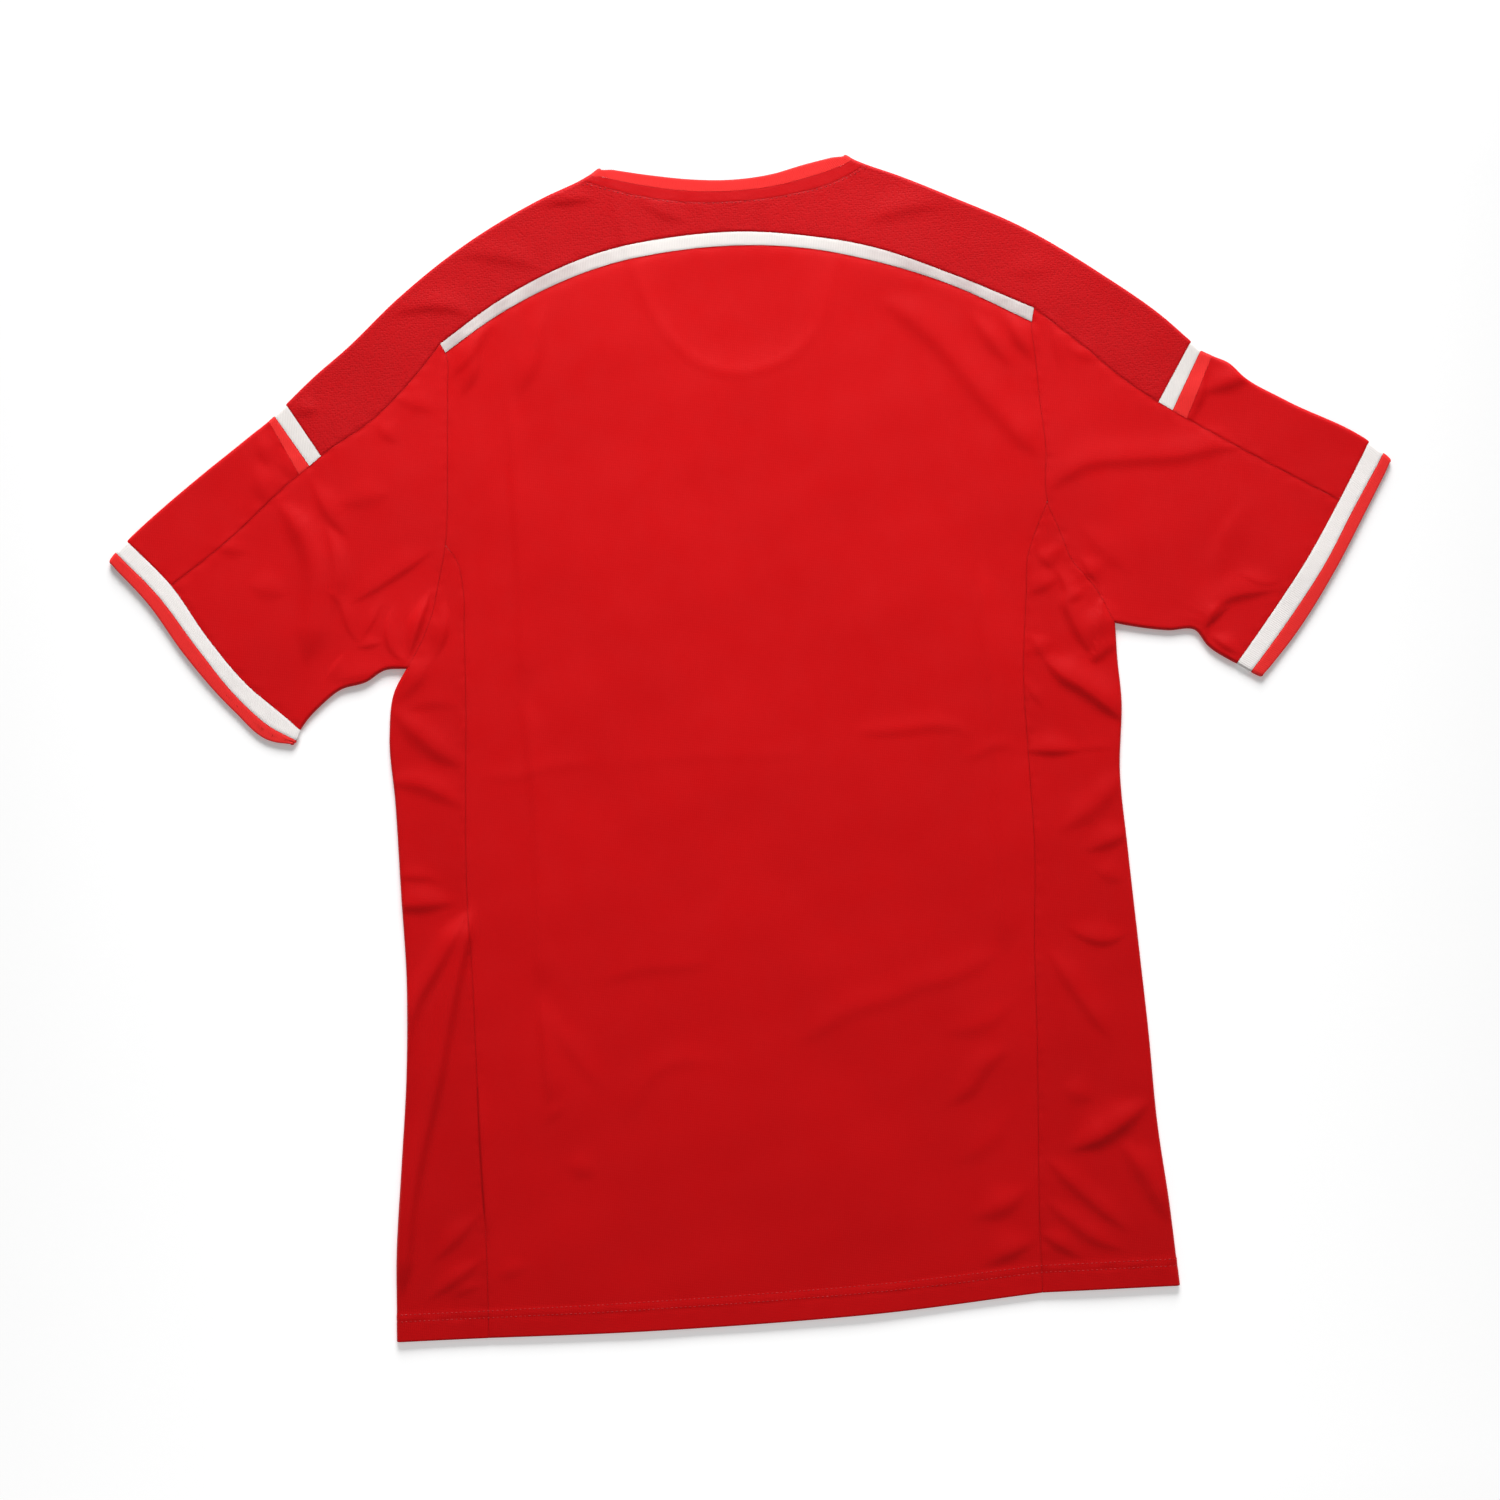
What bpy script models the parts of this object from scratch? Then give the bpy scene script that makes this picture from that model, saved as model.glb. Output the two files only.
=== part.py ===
"""Short-sleeved football jersey, laid flat with its back up.

The garment's centre line runs along Y with the neck at +Y. The wearer's left is -X. The front lies flat
on the floor and the back lies on it. Every cut piece is a wall of cloth of its own, parted from its
neighbours by a seam gap. The pieces that go round a fold of the garment run from a seam on the upper
layer, over the fold and back to the same seam on the lower layer.

Tables and sizes are in millimetres, x from the centre line and y up from the hem. The meshes are in metres.
"""

from collections import namedtuple
import math

import bpy
import numpy as np

MM = 0.001

# Driving sizes of the cloth, in millimetres.
WALL = 1.2  # thickness of every piece of cloth
SEAM_GAP = 0.3  # between two pieces at their seam
LAYER_HEIGHT = 3.4  # middle of the upper layer, well inside the garment
FOLD_RISE = 1.0  # how much higher the upper layer stands at a fold of the garment
FOLD_REACH = 14.0  # how far that rise reaches inwards
NECK_HEIGHT = 1.5  # middle of the upper layer where the front neckline leaves nothing below it
NECK_REACH = 16.0  # how far inside the front neckline the cloth has sunk to that height
LOWEST_UPPER = 2.35  # the middle of the upper layer never sinks below this over the lower one
GARMENT_CENTRE = (10.0, 385.0)  # middle of the outline, which becomes the origin
BINDING_SHARE = 0.52  # of the collar's width that its bright binding takes

LOWER_MIDDLE = WALL / 2
CURVE_STEPS = 16  # straight steps that stand for a curve between two rows of its table
TANGENT_STEPS = 4  # steps to each side of a point that give a curve's direction there
OUTLINE_STRIDE = 4  # every fourth step of a curve is fine enough for distances to it
FOLD_TAPER = 0.3  # share of a ridge's length over which each of its ends fades
MITRE_LIMIT = 0.5  # keeps the inset of a sharp corner short
SMOOTH_DEGREES = 50  # faces that meet at less than this are shaded smooth

# Cells of the cloth between the named rows of the outline.
YOKE_SEAM_CELLS = 7
STRIPE_SIDE_CELLS = 7
STRIPE_MIDDLE_CELLS = 9
ARMHOLE_UPPER_CELLS = 7
ARMHOLE_LOWER_CELLS = 8
SIDE_CELLS = 36
SLEEVE_TOP_CELLS = 8
ACROSS_TOP_CELLS = 4
FRONT_NECK_CELLS = 10
FOLD_CELLS = 3

# Columns of a wrap-around piece that carry on under the fold, counted from the seam.
SIDE_LOWER_COLUMNS = (8, 4, 0)
TOP_LOWER_COLUMNS = (4, 2, 0)
SLEEVE_LOWER_COLUMNS = (16, 12, 8, 4, 0)

Knot = namedtuple("Knot", "name left_x left_y right_x right_y")
Tape = namedtuple("Tape", "name upper_x upper_y lower_x lower_y")
Neck = namedtuple("Neck", "name edge_x edge_y seam_x seam_y")
Cuff = namedtuple("Cuff", "name seam_x seam_y edge_x edge_y end_x end_y")
Fold = namedtuple("Fold", "name start_x start_y end_x end_y bow width rise lean")
Bend = namedtuple("Bend", "line outward radius inner")

# Fold of the body at its sides, from the hem to the armpit.
SIDE_FOLD = (
    Knot("hem", -256, 5, 260, 10),
    Knot("", -253, 60, 257, 60),
    Knot("", -246, 120, 252, 120),
    Knot("", -239, 180, 250, 180),
    Knot("", -235, 240, 247, 240),
    Knot("", -235, 300, 244, 300),
    Knot("", -235, 360, 242, 350),
    Knot("", -236, 405, 246, 400),
    Knot("", -231, 433, 245, 425),
    Knot("armpit", -222, 448, 245, 449),
)

# Seam between back and side panel, from the hem to the armhole.
SIDE_SEAM = (
    Knot("hem", -196, 4, 170, 11),
    Knot("", -194, 60, 171, 60),
    Knot("", -194, 120, 174, 120),
    Knot("", -193, 180, 177, 180),
    Knot("", -192, 240, 179, 240),
    Knot("", -192, 300, 183, 300),
    Knot("", -189, 360, 183, 360),
    Knot("", -185, 420, 183, 420),
    Knot("", -183, 470, 188, 470),
    Knot("", -182, 498, 191, 497),
    Knot("", -186, 519, 198, 515),
    Knot("armhole", -192, 527, 206, 531),
)

# Armhole seam, from the corner of the yoke to the armpit.
ARMHOLE = (
    Knot("yoke", -187, 660, 205, 659),
    Knot("stripe", -184, 654, 203, 650),
    Knot("", -184, 630, 204, 625),
    Knot("", -186, 600, 205, 600),
    Knot("", -188, 567, 207, 567),
    Knot("side", -192, 527, 206, 531),
    Knot("", -198, 503, 213, 511),
    Knot("", -203, 484, 219, 493),
    Knot("", -211, 466, 233, 474),
    Knot("armpit", -222, 448, 245, 449),
)

# Fold along the shoulder and the top of the sleeve, from the neck to the end of the cuff.
TOP_FOLD = (
    Knot("neck", -76, 768, 87, 768),
    Knot("binding", -82, 765, 94, 764.5),
    Knot("band", -89, 762, 102, 760.5),
    Knot("", -114, 751, 120, 752),
    Knot("", -171, 721, 158, 734),
    Knot("", -213, 691, 196, 715),
    Knot("", -249, 660, 251, 678),
    Knot("", -270, 644, 290, 647),
    Knot("stripe", -291, 626, 307, 630),
    Knot("line", -299, 619, 313, 624),
    Knot("top", -305, 614, 320, 620),
    Knot("", -348, 584, 366, 588),
    Knot("cuff", -401, 543, 420, 557),
    Knot("edge", -409, 536, 429, 549),
    Knot("end", -414, 530, 434, 544),
)

# Fold under the sleeve, from the armpit to the end of the cuff.
UNDERARM_FOLD = (
    Knot("armpit", -222, 448, 245, 449),
    Knot("", -237, 448, 262, 445),
    Knot("", -250, 441, 280, 442),
    Knot("", -267, 437, 298, 441),
    Knot("", -280, 428, 306, 430),
    Knot("cuff", -295, 412, 324, 417),
    Knot("edge", -298, 405, 333, 411),
    Knot("end", -301, 402, 340, 407),
)

# Seam that runs down the sleeve from the corner of the yoke to the cuff.
UPPER_SEAM = (
    Knot("yoke", -187, 660, 205, 659),
    Knot("", -202, 643, 237, 631),
    Knot("", -232, 615, 263, 607),
    Knot("stripe", -270, 591, 283, 592),
    Knot("line", -278, 585, 292, 586),
    Knot("top", -284, 581, 301, 580),
    Knot("", -334, 540, 347, 551),
    Knot("cuff", -374, 512, 398, 520),
)

LEFT_CUFF = (
    Cuff("fold", -401, 543, -409, 536, -414, 530),
    Cuff("seam", -374, 512, -383, 506, -390, 501),
    Cuff("", -353, 475, -361, 470, -370, 465),
    Cuff("", -327, 438, -334, 432, -341, 426),
    Cuff("underarm", -295, 412, -298, 405, -301, 402),
)
RIGHT_CUFF = (
    Cuff("fold", 420, 557, 429, 549, 434, 544),
    Cuff("seam", 398, 520, 407, 514, 414, 510),
    Cuff("", 376, 485, 386, 479, 393, 475),
    Cuff("", 347, 446, 357, 440, 364, 434),
    Cuff("underarm", 324, 417, 333, 411, 340, 407),
)

# White tape between yoke and back panel, from left to right.
YOKE_STRIPE = (
    Tape("left", -187, 660, -184, 654),
    Tape("", -148, 685, -145, 678),
    Tape("", -115, 701, -112, 693),
    Tape("left_collar", -80, 713, -78, 704),
    Tape("", -30, 720.5, -29, 711.5),
    Tape("", 12, 721.5, 12, 712.5),
    Tape("", 58, 716, 57, 708),
    Tape("right_collar", 99, 706.5, 97, 698),
    Tape("", 154, 684, 151, 678),
    Tape("right", 205, 659, 203, 650),
)

# The collar's free edge and the seam that sews it on, at the back and at the front of the neck.
BACK_NECK = (
    Neck("left", -76, 768, -89, 762),
    Neck("", -40, 762, -53, 750),
    Neck("", -16, 758, -25, 744),
    Neck("", 12, 756, 12, 741.5),
    Neck("", 38, 758, 50, 744),
    Neck("", 60, 763, 78, 750),
    Neck("right", 87, 768, 102, 760.5),
)
FRONT_NECK = (
    Neck("left", -76, 768, -89, 762),
    Neck("left_collar", -65, 716, -80, 713),
    Neck("", -57, 687, -70, 683),
    Neck("", -42, 655, -53, 647),
    Neck("", -20, 633, -26, 621),
    Neck("", 9, 624, 9, 610),
    Neck("", 41, 631, 47, 619),
    Neck("", 67, 654, 79, 648),
    Neck("", 79, 686, 92, 682),
    Neck("right_collar", 85, 710, 99, 706.5),
    Neck("right", 87, 768, 102, 760.5),
)

# Line of the hem, from left to right.
HEM = (
    (-196, 4),
    (-110, 2),
    (-20, 2),
    (76, 6),
    (170, 11),
)

# Ridges and troughs of the upper layer. Each is a line with a bow to its left, a half width and a rise.
# A positive lean makes the slope on the right of the line steep, a negative one the slope on its left.
FOLDS = (
    Fold("roll at left armhole", -191, 514, -236, 420, 7, 8, 5.0, -0.4),
    Fold("left side, drag from armpit", -226, 412, -190, 382, 2, 8, 3.0, 0.3),
    Fold("left side, packing fold", -235, 376, -188, 374, 0, 7, 2.2, 0.3),
    Fold("left side, below it", -216, 370, -192, 351, 0, 7, 1.6, 0.3),
    Fold("left side, short fold", -234, 315, -208, 306, 0, 7, 1.4, 0.3),
    Fold("left side, level fold", -236, 293, -193, 292, 0, 8, 3.0, 0.4),
    Fold("left side, upper long trough", -193, 280, -236, 190, -6, 6, -1.2, 0.0),
    Fold("left side, lower long fold", -190, 270, -248, 98, -9, 9, 4.2, -0.3),
    Fold("left side, first hem fold", -197, 86, -228, 56, 2, 8, 2.4, -0.2),
    Fold("left side, second hem fold", -194, 49, -226, 37, 0, 7, 1.6, -0.2),
    Fold("right side, first pucker", 196, 500, 218, 486, 0, 8, 3.0, 0.3),
    Fold("right side, second pucker", 200, 482, 228, 464, 0, 8, 3.4, 0.3),
    Fold("right side, deep pucker", 214, 462, 245, 430, 4, 9, 4.5, 0.4),
    Fold("right side, long diagonal", 192, 431, 246, 389, 3, 9, 3.8, 0.3),
    Fold("right side, packing fold", 184, 372, 246, 370, 0, 8, 2.8, 0.3),
    Fold("right side, upper diagonal", 236, 343, 209, 314, 0, 8, 2.0, -0.2),
    Fold("right side, short diagonal", 240, 321, 217, 301, 0, 7, 1.6, -0.2),
    Fold("right side, crescent", 203, 258, 238, 242, -3, 8, 2.2, 0.2),
    Fold("right side, middle diagonal", 186, 244, 226, 174, 4, 8, 1.8, 0.2),
    Fold("right side, strong fold", 198, 104, 246, 128, -3, 9, 4.6, 0.4),
    Fold("right side, first hem fold", 184, 101, 232, 48, 2, 8, 2.4, 0.2),
    Fold("right side, second hem fold", 172, 73, 213, 37, 0, 8, 2.2, 0.2),
    Fold("right side, third hem fold", 170, 53, 196, 35, 0, 7, 2.8, 0.3),
    Fold("right side, outer hem fold", 218, 97, 262, 38, 0, 8, 2.0, 0.2),
    Fold("back, shoulder drag", 102, 677, 206, 553, -4, 12, 2.8, 0.2),
    Fold("back, second drag", 158, 662, 186, 624, 0, 9, 1.8, 0.2),
    Fold("back, third drag", 181, 659, 204, 620, 0, 9, 1.8, 0.2),
    Fold("back, left shoulder drag", -148, 676, -182, 635, 2, 11, 1.8, -0.2),
    Fold("back, long fold low right", 166, 240, 12, 180, 4, 16, 2.2, -0.2),
    Fold("back, fold above the hem", 170, 73, 130, 64, 0, 10, 2.8, -0.2),
    Fold("back, fold at the hem", 172, 46, 136, 36, 0, 9, 2.8, -0.2),
    Fold("back, diagonal low right", 166, 178, 106, 140, 3, 13, 2.2, -0.2),
    Fold("back, short diagonal", 168, 131, 116, 101, 2, 12, 1.5, -0.2),
    Fold("back, diagonal low left", -150, 208, -108, 155, 0, 13, 1.2, 0.1),
    Fold("yoke, left of the neck", -116, 750, -68, 747, 0, 9, 2.4, 0.2),
    Fold("yoke, under the neck", -66, 748, -20, 724, 0, 10, 1.3, 0.1),
    Fold("yoke, above the stripe", -172, 717, -112, 706, 3, 11, 1.5, 0.1),
    Fold("yoke, left shoulder", -216, 687, -160, 684, 2, 10, 2.6, 0.2),
    Fold("yoke, right of the neck", 92, 722, 156, 731, 0, 11, 2.6, 0.2),
    Fold("left sleeve, upper drag", -218, 628, -190, 614, 0, 9, 1.4, 0.2),
    Fold("left sleeve, second drag", -238, 612, -212, 595, 0, 9, 1.4, 0.2),
    Fold("left sleeve, below the tape", -281, 580, -260, 538, 0, 9, 1.8, 0.1),
    Fold("left sleeve, long fold", -304, 562, -289, 448, 11, 11, 2.6, 0.2),
    Fold("left sleeve, strong fold", -192, 530, -256, 495, 3, 9, 4.2, -0.4),
    Fold("left sleeve, lower fold", -266, 501, -249, 463, 0, 9, 2.0, 0.1),
    Fold("left sleeve, short fold", -234, 496, -256, 463, 0, 9, 2.0, 0.1),
    Fold("left sleeve, at the armpit", -229, 489, -220, 448, -4, 8, 2.6, 0.2),
    Fold("right sleeve, long fold", 206, 542, 338, 559, 5, 12, 3.6, 0.2),
    Fold("right sleeve, under the yoke", 214, 653, 212, 620, 0, 9, 1.4, 0.0),
    Fold("right sleeve, tuck at the cuff", 308, 466, 303, 432, 0, 9, 3.6, -0.2),
    Fold("right sleeve, beside the tuck", 306, 463, 352, 461, 2, 9, 2.4, 0.2),
    Fold("right sleeve, beside the tape", 302, 583, 343, 602, 0, 10, 2.6, 0.2),
)


class Curve:
    """A smooth plan curve through the rows of a table, with names on some of them."""

    def __init__(self, names, points, turn=1):
        self.names = list(names)
        self.turn = turn
        knots = np.array(points, float)
        self.line = smooth_line(knots)
        steps = np.linalg.norm(np.diff(self.line, axis=0), axis=1)
        self.length = np.concatenate([[0.0], np.cumsum(steps)])

    def at(self, name):
        """Length along the curve at a named row."""
        return self.length[self.names.index(name) * CURVE_STEPS]

    def read(self, lengths):
        """Plan points at lengths along the curve."""
        return np.column_stack([np.interp(lengths, self.length, self.line[:, axis]) for axis in (0, 1)])

    def between(self, start, end, cells):
        """Evenly spaced plan points from one named row to another."""
        return self.read(np.linspace(self.at(start), self.at(end), cells + 1))

    def outward(self, points):
        """Unit plan directions that point away from the garment at points of the curve."""
        nearest = [np.argmin(np.linalg.norm(self.line - point, axis=1)) for point in points]
        last = len(self.line) - 1
        before = self.line[[max(index - TANGENT_STEPS, 0) for index in nearest]]
        after = self.line[[min(index + TANGENT_STEPS, last) for index in nearest]]
        along = after - before
        across = np.column_stack([-along[:, 1], along[:, 0]]) * self.turn
        return across / np.linalg.norm(across, axis=1)[:, None]


def smooth_line(knots):
    """Points of a cubic curve through the knots, CURVE_STEPS steps between two of them."""
    spans = np.maximum(np.linalg.norm(np.diff(knots, axis=0), axis=1), 1e-6)
    slopes = np.diff(knots, axis=0) / spans[:, None]
    tangents = np.empty_like(knots)
    tangents[0], tangents[-1] = slopes[0], slopes[-1]
    for row in range(1, len(knots) - 1):
        before, after = spans[row - 1], spans[row]
        tangents[row] = (slopes[row - 1] * after + slopes[row] * before) / (before + after)
    line = []
    for row, span in enumerate(spans):
        for step in range(CURVE_STEPS):
            t = step / CURVE_STEPS
            line.append(
                (2 * t**3 - 3 * t**2 + 1) * knots[row]
                + (t**3 - 2 * t**2 + t) * span * tangents[row]
                + (3 * t**2 - 2 * t**3) * knots[row + 1]
                + (t**3 - t**2) * span * tangents[row + 1]
            )
    line.append(knots[-1])
    return np.array(line)


def side_curve(table, side, turn=1):
    """The left or the right curve of a table with a row for both sides."""
    columns = ("left_x", "left_y") if side == "left" else ("right_x", "right_y")
    points = [[getattr(row, column) for column in columns] for row in table]
    return Curve([row.name for row in table], points, turn)


def column_curve(table, column):
    """One curve of a table that holds several, such as the edge of a cuff."""
    points = [[getattr(row, column + "_x"), getattr(row, column + "_y")] for row in table]
    return Curve([row.name for row in table], points)


SIDES = ("left", "right")
SIGN = {"left": -1, "right": 1}
TOP = {side: side_curve(TOP_FOLD, side, SIGN[side]) for side in SIDES}
UNDERARM = {side: side_curve(UNDERARM_FOLD, side, -SIGN[side]) for side in SIDES}
BODY_FOLD = {side: side_curve(SIDE_FOLD, side, -SIGN[side]) for side in SIDES}
BODY_SEAM = {side: side_curve(SIDE_SEAM, side) for side in SIDES}
ARMHOLES = {side: side_curve(ARMHOLE, side) for side in SIDES}
SLEEVE_SEAM = {side: side_curve(UPPER_SEAM, side) for side in SIDES}
CUFF_TABLE = {"left": LEFT_CUFF, "right": RIGHT_CUFF}
FOLD_ROW = {"seam": "cuff", "edge": "edge", "end": "end"}  # row of the folds at each line of the cuff
FRONT_EDGE = column_curve(FRONT_NECK, "edge")
FRONT_SEAM = column_curve(FRONT_NECK, "seam")


def step_up(values):
    """A smooth step from 0 to 1."""
    share = np.clip(values, 0.0, 1.0)
    return share * share * (3 - 2 * share)


def distance_to_line(points, line):
    """Shortest plan distance from each point to a line of points."""
    nearest = np.full(len(points), np.inf)
    for start, end in zip(line[:-1], line[1:]):
        along = end - start
        share = np.clip((points - start) @ along / max(along @ along, 1e-9), 0, 1)
        gap = np.linalg.norm(points - start - share[:, None] * along, axis=1)
        nearest = np.minimum(nearest, gap)
    return nearest


def inside_outline(points, outline):
    """True for each point inside a closed plan outline."""
    inside = np.zeros(len(points), bool)
    for start, end in zip(outline, np.roll(outline, -1, axis=0)):
        crosses = (start[1] > points[:, 1]) != (end[1] > points[:, 1])
        rise = end[1] - start[1]
        if abs(rise) > 1e-9:
            at_x = start[0] + (points[:, 1] - start[1]) / rise * (end[0] - start[0])
            inside ^= crosses & (points[:, 0] < at_x)
    return inside


def fold_height(points, fold):
    """Height that one ridge or trough adds at each plan point."""
    start = np.array([fold.start_x, fold.start_y], float)
    along = np.array([fold.end_x, fold.end_y], float) - start
    length = np.linalg.norm(along)
    along /= length
    left = np.array([-along[1], along[0]])
    share = (points - start) @ along / length
    middle = np.clip(share, 0, 1)
    across = (points - start) @ left - fold.bow * 4 * middle * (1 - middle)
    width = np.where(across > 0, fold.width * (1 + fold.lean), fold.width * (1 - fold.lean))
    ends = step_up(share / FOLD_TAPER) * step_up((1 - share) / FOLD_TAPER)
    return fold.rise * ends * np.exp(-((across / width) ** 2))


def cloth_height(points):
    """Height of the middle of the upper layer at plan points."""
    points = np.atleast_2d(points)
    edge = np.full(len(points), np.inf)
    for curves in (TOP, UNDERARM, BODY_FOLD):
        for side in SIDES:
            edge = np.minimum(edge, distance_to_line(points, curves[side].line[::OUTLINE_STRIDE]))
    height = LAYER_HEIGHT + FOLD_RISE * np.exp(-((edge / FOLD_REACH) ** 2))
    neckline = FRONT_EDGE.line[::OUTLINE_STRIDE]
    sunk = np.where(inside_outline(points, neckline), distance_to_line(points, neckline), 0.0)
    height = height + (NECK_HEIGHT - LAYER_HEIGHT) * step_up(sunk / NECK_REACH)
    floor = LOWEST_UPPER + (NECK_HEIGHT - LOWEST_UPPER) * step_up(sunk / NECK_REACH)
    for fold in FOLDS:
        height = height + fold_height(points, fold)
    return np.maximum(height, floor)


def cloth_normals(points):
    """Unit normals of the upper layer at plan points."""
    step = 1.0
    slope_x = (cloth_height(points + (step, 0)) - cloth_height(points - (step, 0))) / (2 * step)
    slope_y = (cloth_height(points + (0, step)) - cloth_height(points - (0, step))) / (2 * step)
    normals = np.column_stack([-slope_x, -slope_y, np.ones(len(points))])
    return normals / np.linalg.norm(normals, axis=1)[:, None]


def bend_at(curve, points, corner=None):
    """A fold of the garment at points of its curve; a corner shares its first outward direction."""
    outward = curve.outward(points)
    if corner is not None:
        outward[corner[0]] = corner[1]
    radius = (cloth_height(points) - LOWER_MIDDLE) / 2
    return Bend(points, outward, radius, points - outward * radius[:, None])


def armpit_outward(side):
    """Direction that points away from both folds that meet at the armpit."""
    body = BODY_FOLD[side].outward(BODY_FOLD[side].line[-1:])[0]
    sleeve = UNDERARM[side].outward(UNDERARM[side].line[:1])[0]
    return (body + sleeve) / np.linalg.norm(body + sleeve)


def patch(first_row, last_row, first_column, last_column):
    """Plan grid that spans four boundaries which meet at their ends."""
    rows, columns = len(first_column), len(first_row)
    down = np.linspace(0, 1, rows)[:, None, None]
    over = np.linspace(0, 1, columns)[None, :, None]
    ruled_rows = (1 - down) * first_row[None] + down * last_row[None]
    ruled_columns = (1 - over) * first_column[:, None] + over * last_column[:, None]
    corners = (1 - down) * ((1 - over) * first_row[0] + over * first_row[-1])
    corners = corners + down * ((1 - over) * last_row[0] + over * last_row[-1])
    return ruled_rows + ruled_columns - corners


def join(*pieces):
    """Runs of points that follow each other, without their doubled ends."""
    return np.concatenate([pieces[0]] + [piece[1:] for piece in pieces[1:]])


def upper_layer(plan):
    """Points and normals of a plan grid on the upper layer."""
    flat = plan.reshape(-1, 2)
    points = np.column_stack([flat, cloth_height(flat)]).reshape(plan.shape[:2] + (3,))
    return points, cloth_normals(flat).reshape(points.shape)


def lower_layer(plan):
    """Points and normals of a plan grid on the lower layer, which lies flat and faces down."""
    points = np.dstack([plan, np.full(plan.shape[:2], LOWER_MIDDLE)])
    normals = np.zeros_like(points)
    normals[..., 2] = -1
    return points, normals


def round_bend(bend):
    """Points and normals between the layers, from the upper one round the fold to the lower one."""
    points, normals = [], []
    for cell in range(1, FOLD_CELLS):
        angle = math.pi / 2 - math.pi * cell / FOLD_CELLS
        out = bend.radius * math.cos(angle)
        height = LOWER_MIDDLE + bend.radius * (1 + math.sin(angle))
        points.append(np.column_stack([bend.inner + bend.outward * out[:, None], height]))
        rise = np.full(len(out), math.sin(angle))
        normals.append(np.column_stack([bend.outward * math.cos(angle), rise]))
    return np.stack(points, axis=1), np.stack(normals, axis=1)


def meet_bend(points, column, bend):
    """Sets the height of a column of the upper layer so that it runs into the bend."""
    points[:, column, 2] = LOWER_MIDDLE + 2 * bend.radius


def wrapped(plan, bend, lower_columns):
    """Grid from a seam over the upper layer, round a fold and back to the seam underneath."""
    upper, upper_normals = upper_layer(plan)
    meet_bend(upper, -1, bend)
    turn, turn_normals = round_bend(bend)
    lower, lower_normals = lower_layer(plan[:, list(lower_columns)])
    points = np.concatenate([upper, turn, lower], axis=1)
    return points, np.concatenate([upper_normals, turn_normals, lower_normals], axis=1)


def looped(upper_plan, first_bend, last_bend, lower_plan):
    """Closed grid round an opening: upper layer, fold, lower layer, fold."""
    upper, upper_normals = upper_layer(upper_plan)
    meet_bend(upper, 0, first_bend)
    meet_bend(upper, -1, last_bend)
    far, far_normals = round_bend(last_bend)
    lower, lower_normals = lower_layer(lower_plan)
    near, near_normals = round_bend(first_bend)
    points = np.concatenate([upper, far, lower, near[:, ::-1]], axis=1)
    return points, np.concatenate([upper_normals, far_normals, lower_normals, near_normals[:, ::-1]], axis=1)


def grid_cells(rows, columns, closed=False, skipped=()):
    """Quads of a grid with rows * columns points, as indices; skipped ones are (row, column)."""
    last = columns if closed else columns - 1
    cells = []
    for row in range(rows - 1):
        for column in range(last):
            beside = (column + 1) % columns
            corners = (row * columns + column, row * columns + beside)
            if (row, column) not in skipped:
                cells.append(corners + (corners[1] + columns, corners[0] + columns))
    return cells


def facing_out(points, normals, cells):
    """The cells, turned over where they run clockwise seen from outside."""
    a, b, c, d = points[list(cells[0])]
    normal = np.cross(c - a, d - b)
    if normal @ normals[cells[0][0]] < 0:
        return [cell[::-1] for cell in cells]
    return cells


def open_edges(cells):
    """Edges of the cloth that only one cell has, as (start, end) with the cloth on their left."""
    edges = {(cell[i], cell[(i + 1) % 4]) for cell in cells for i in range(4)}
    return sorted(edge for edge in edges if edge[::-1] not in edges)


def pull_in(points, normals, edges):
    """Moves every open edge inwards by half the seam gap."""
    inward = {}
    for start, end in edges:
        along = points[end] - points[start]
        across = np.cross((normals[start] + normals[end]) / 2, along)
        across /= np.linalg.norm(across)
        inward.setdefault(start, []).append(across)
        inward.setdefault(end, []).append(across)
    moved = points.copy()
    for vertex, (one, other) in inward.items():
        moved[vertex] += (one + other) / max(1 + one @ other, MITRE_LIMIT) * SEAM_GAP / 2
    return moved


def make_wall(name, points, normals, cells, material):
    """A piece of cloth as a closed wall round its middle surface."""
    points = points.reshape(-1, 3)
    normals = normals.reshape(-1, 3)
    cells = facing_out(points, normals, cells)
    edges = open_edges(cells)
    points = pull_in(points, normals, edges)
    used = sorted({vertex for cell in cells for vertex in cell})
    number = {vertex: place for place, vertex in enumerate(used)}
    half = normals[used] * WALL / 2
    shift = np.array([*GARMENT_CENTRE, 0.0])
    vertices = np.concatenate([points[used] + half, points[used] - half]) - shift
    under = len(used)
    faces = []
    for cell in cells:
        outer = [number[vertex] for vertex in cell]
        faces.append(outer)
        faces.append([vertex + under for vertex in reversed(outer)])
    for start, end in edges:
        a, b = number[start], number[end]
        faces.append([b, a, a + under, b + under])
    return make_object(name, vertices, faces, material)


def make_plate(name, outline, material):
    """A flat piece on the floor, from its plan outline, which runs anticlockwise."""
    count = len(outline)
    after = np.roll(outline, -1, axis=0) - outline
    before = outline - np.roll(outline, 1, axis=0)
    inward = []
    for along in (before, after):
        across = np.column_stack([-along[:, 1], along[:, 0]])
        inward.append(across / np.linalg.norm(across, axis=1)[:, None])
    both = inward[0] + inward[1]
    share = 1 + np.sum(inward[0] * inward[1], axis=1)
    inset = both / np.maximum(share, MITRE_LIMIT)[:, None] * SEAM_GAP / 2
    plan = outline + inset - np.array(GARMENT_CENTRE)
    lower = np.column_stack([plan, np.zeros(count)])
    upper = np.column_stack([plan, np.full(count, WALL)])
    faces = [list(range(count, 2 * count)), list(range(count - 1, -1, -1))]
    for i in range(count):
        j = (i + 1) % count
        faces.append([i, j, j + count, i + count])
    return make_object(name, np.concatenate([lower, upper]), faces, material)


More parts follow.
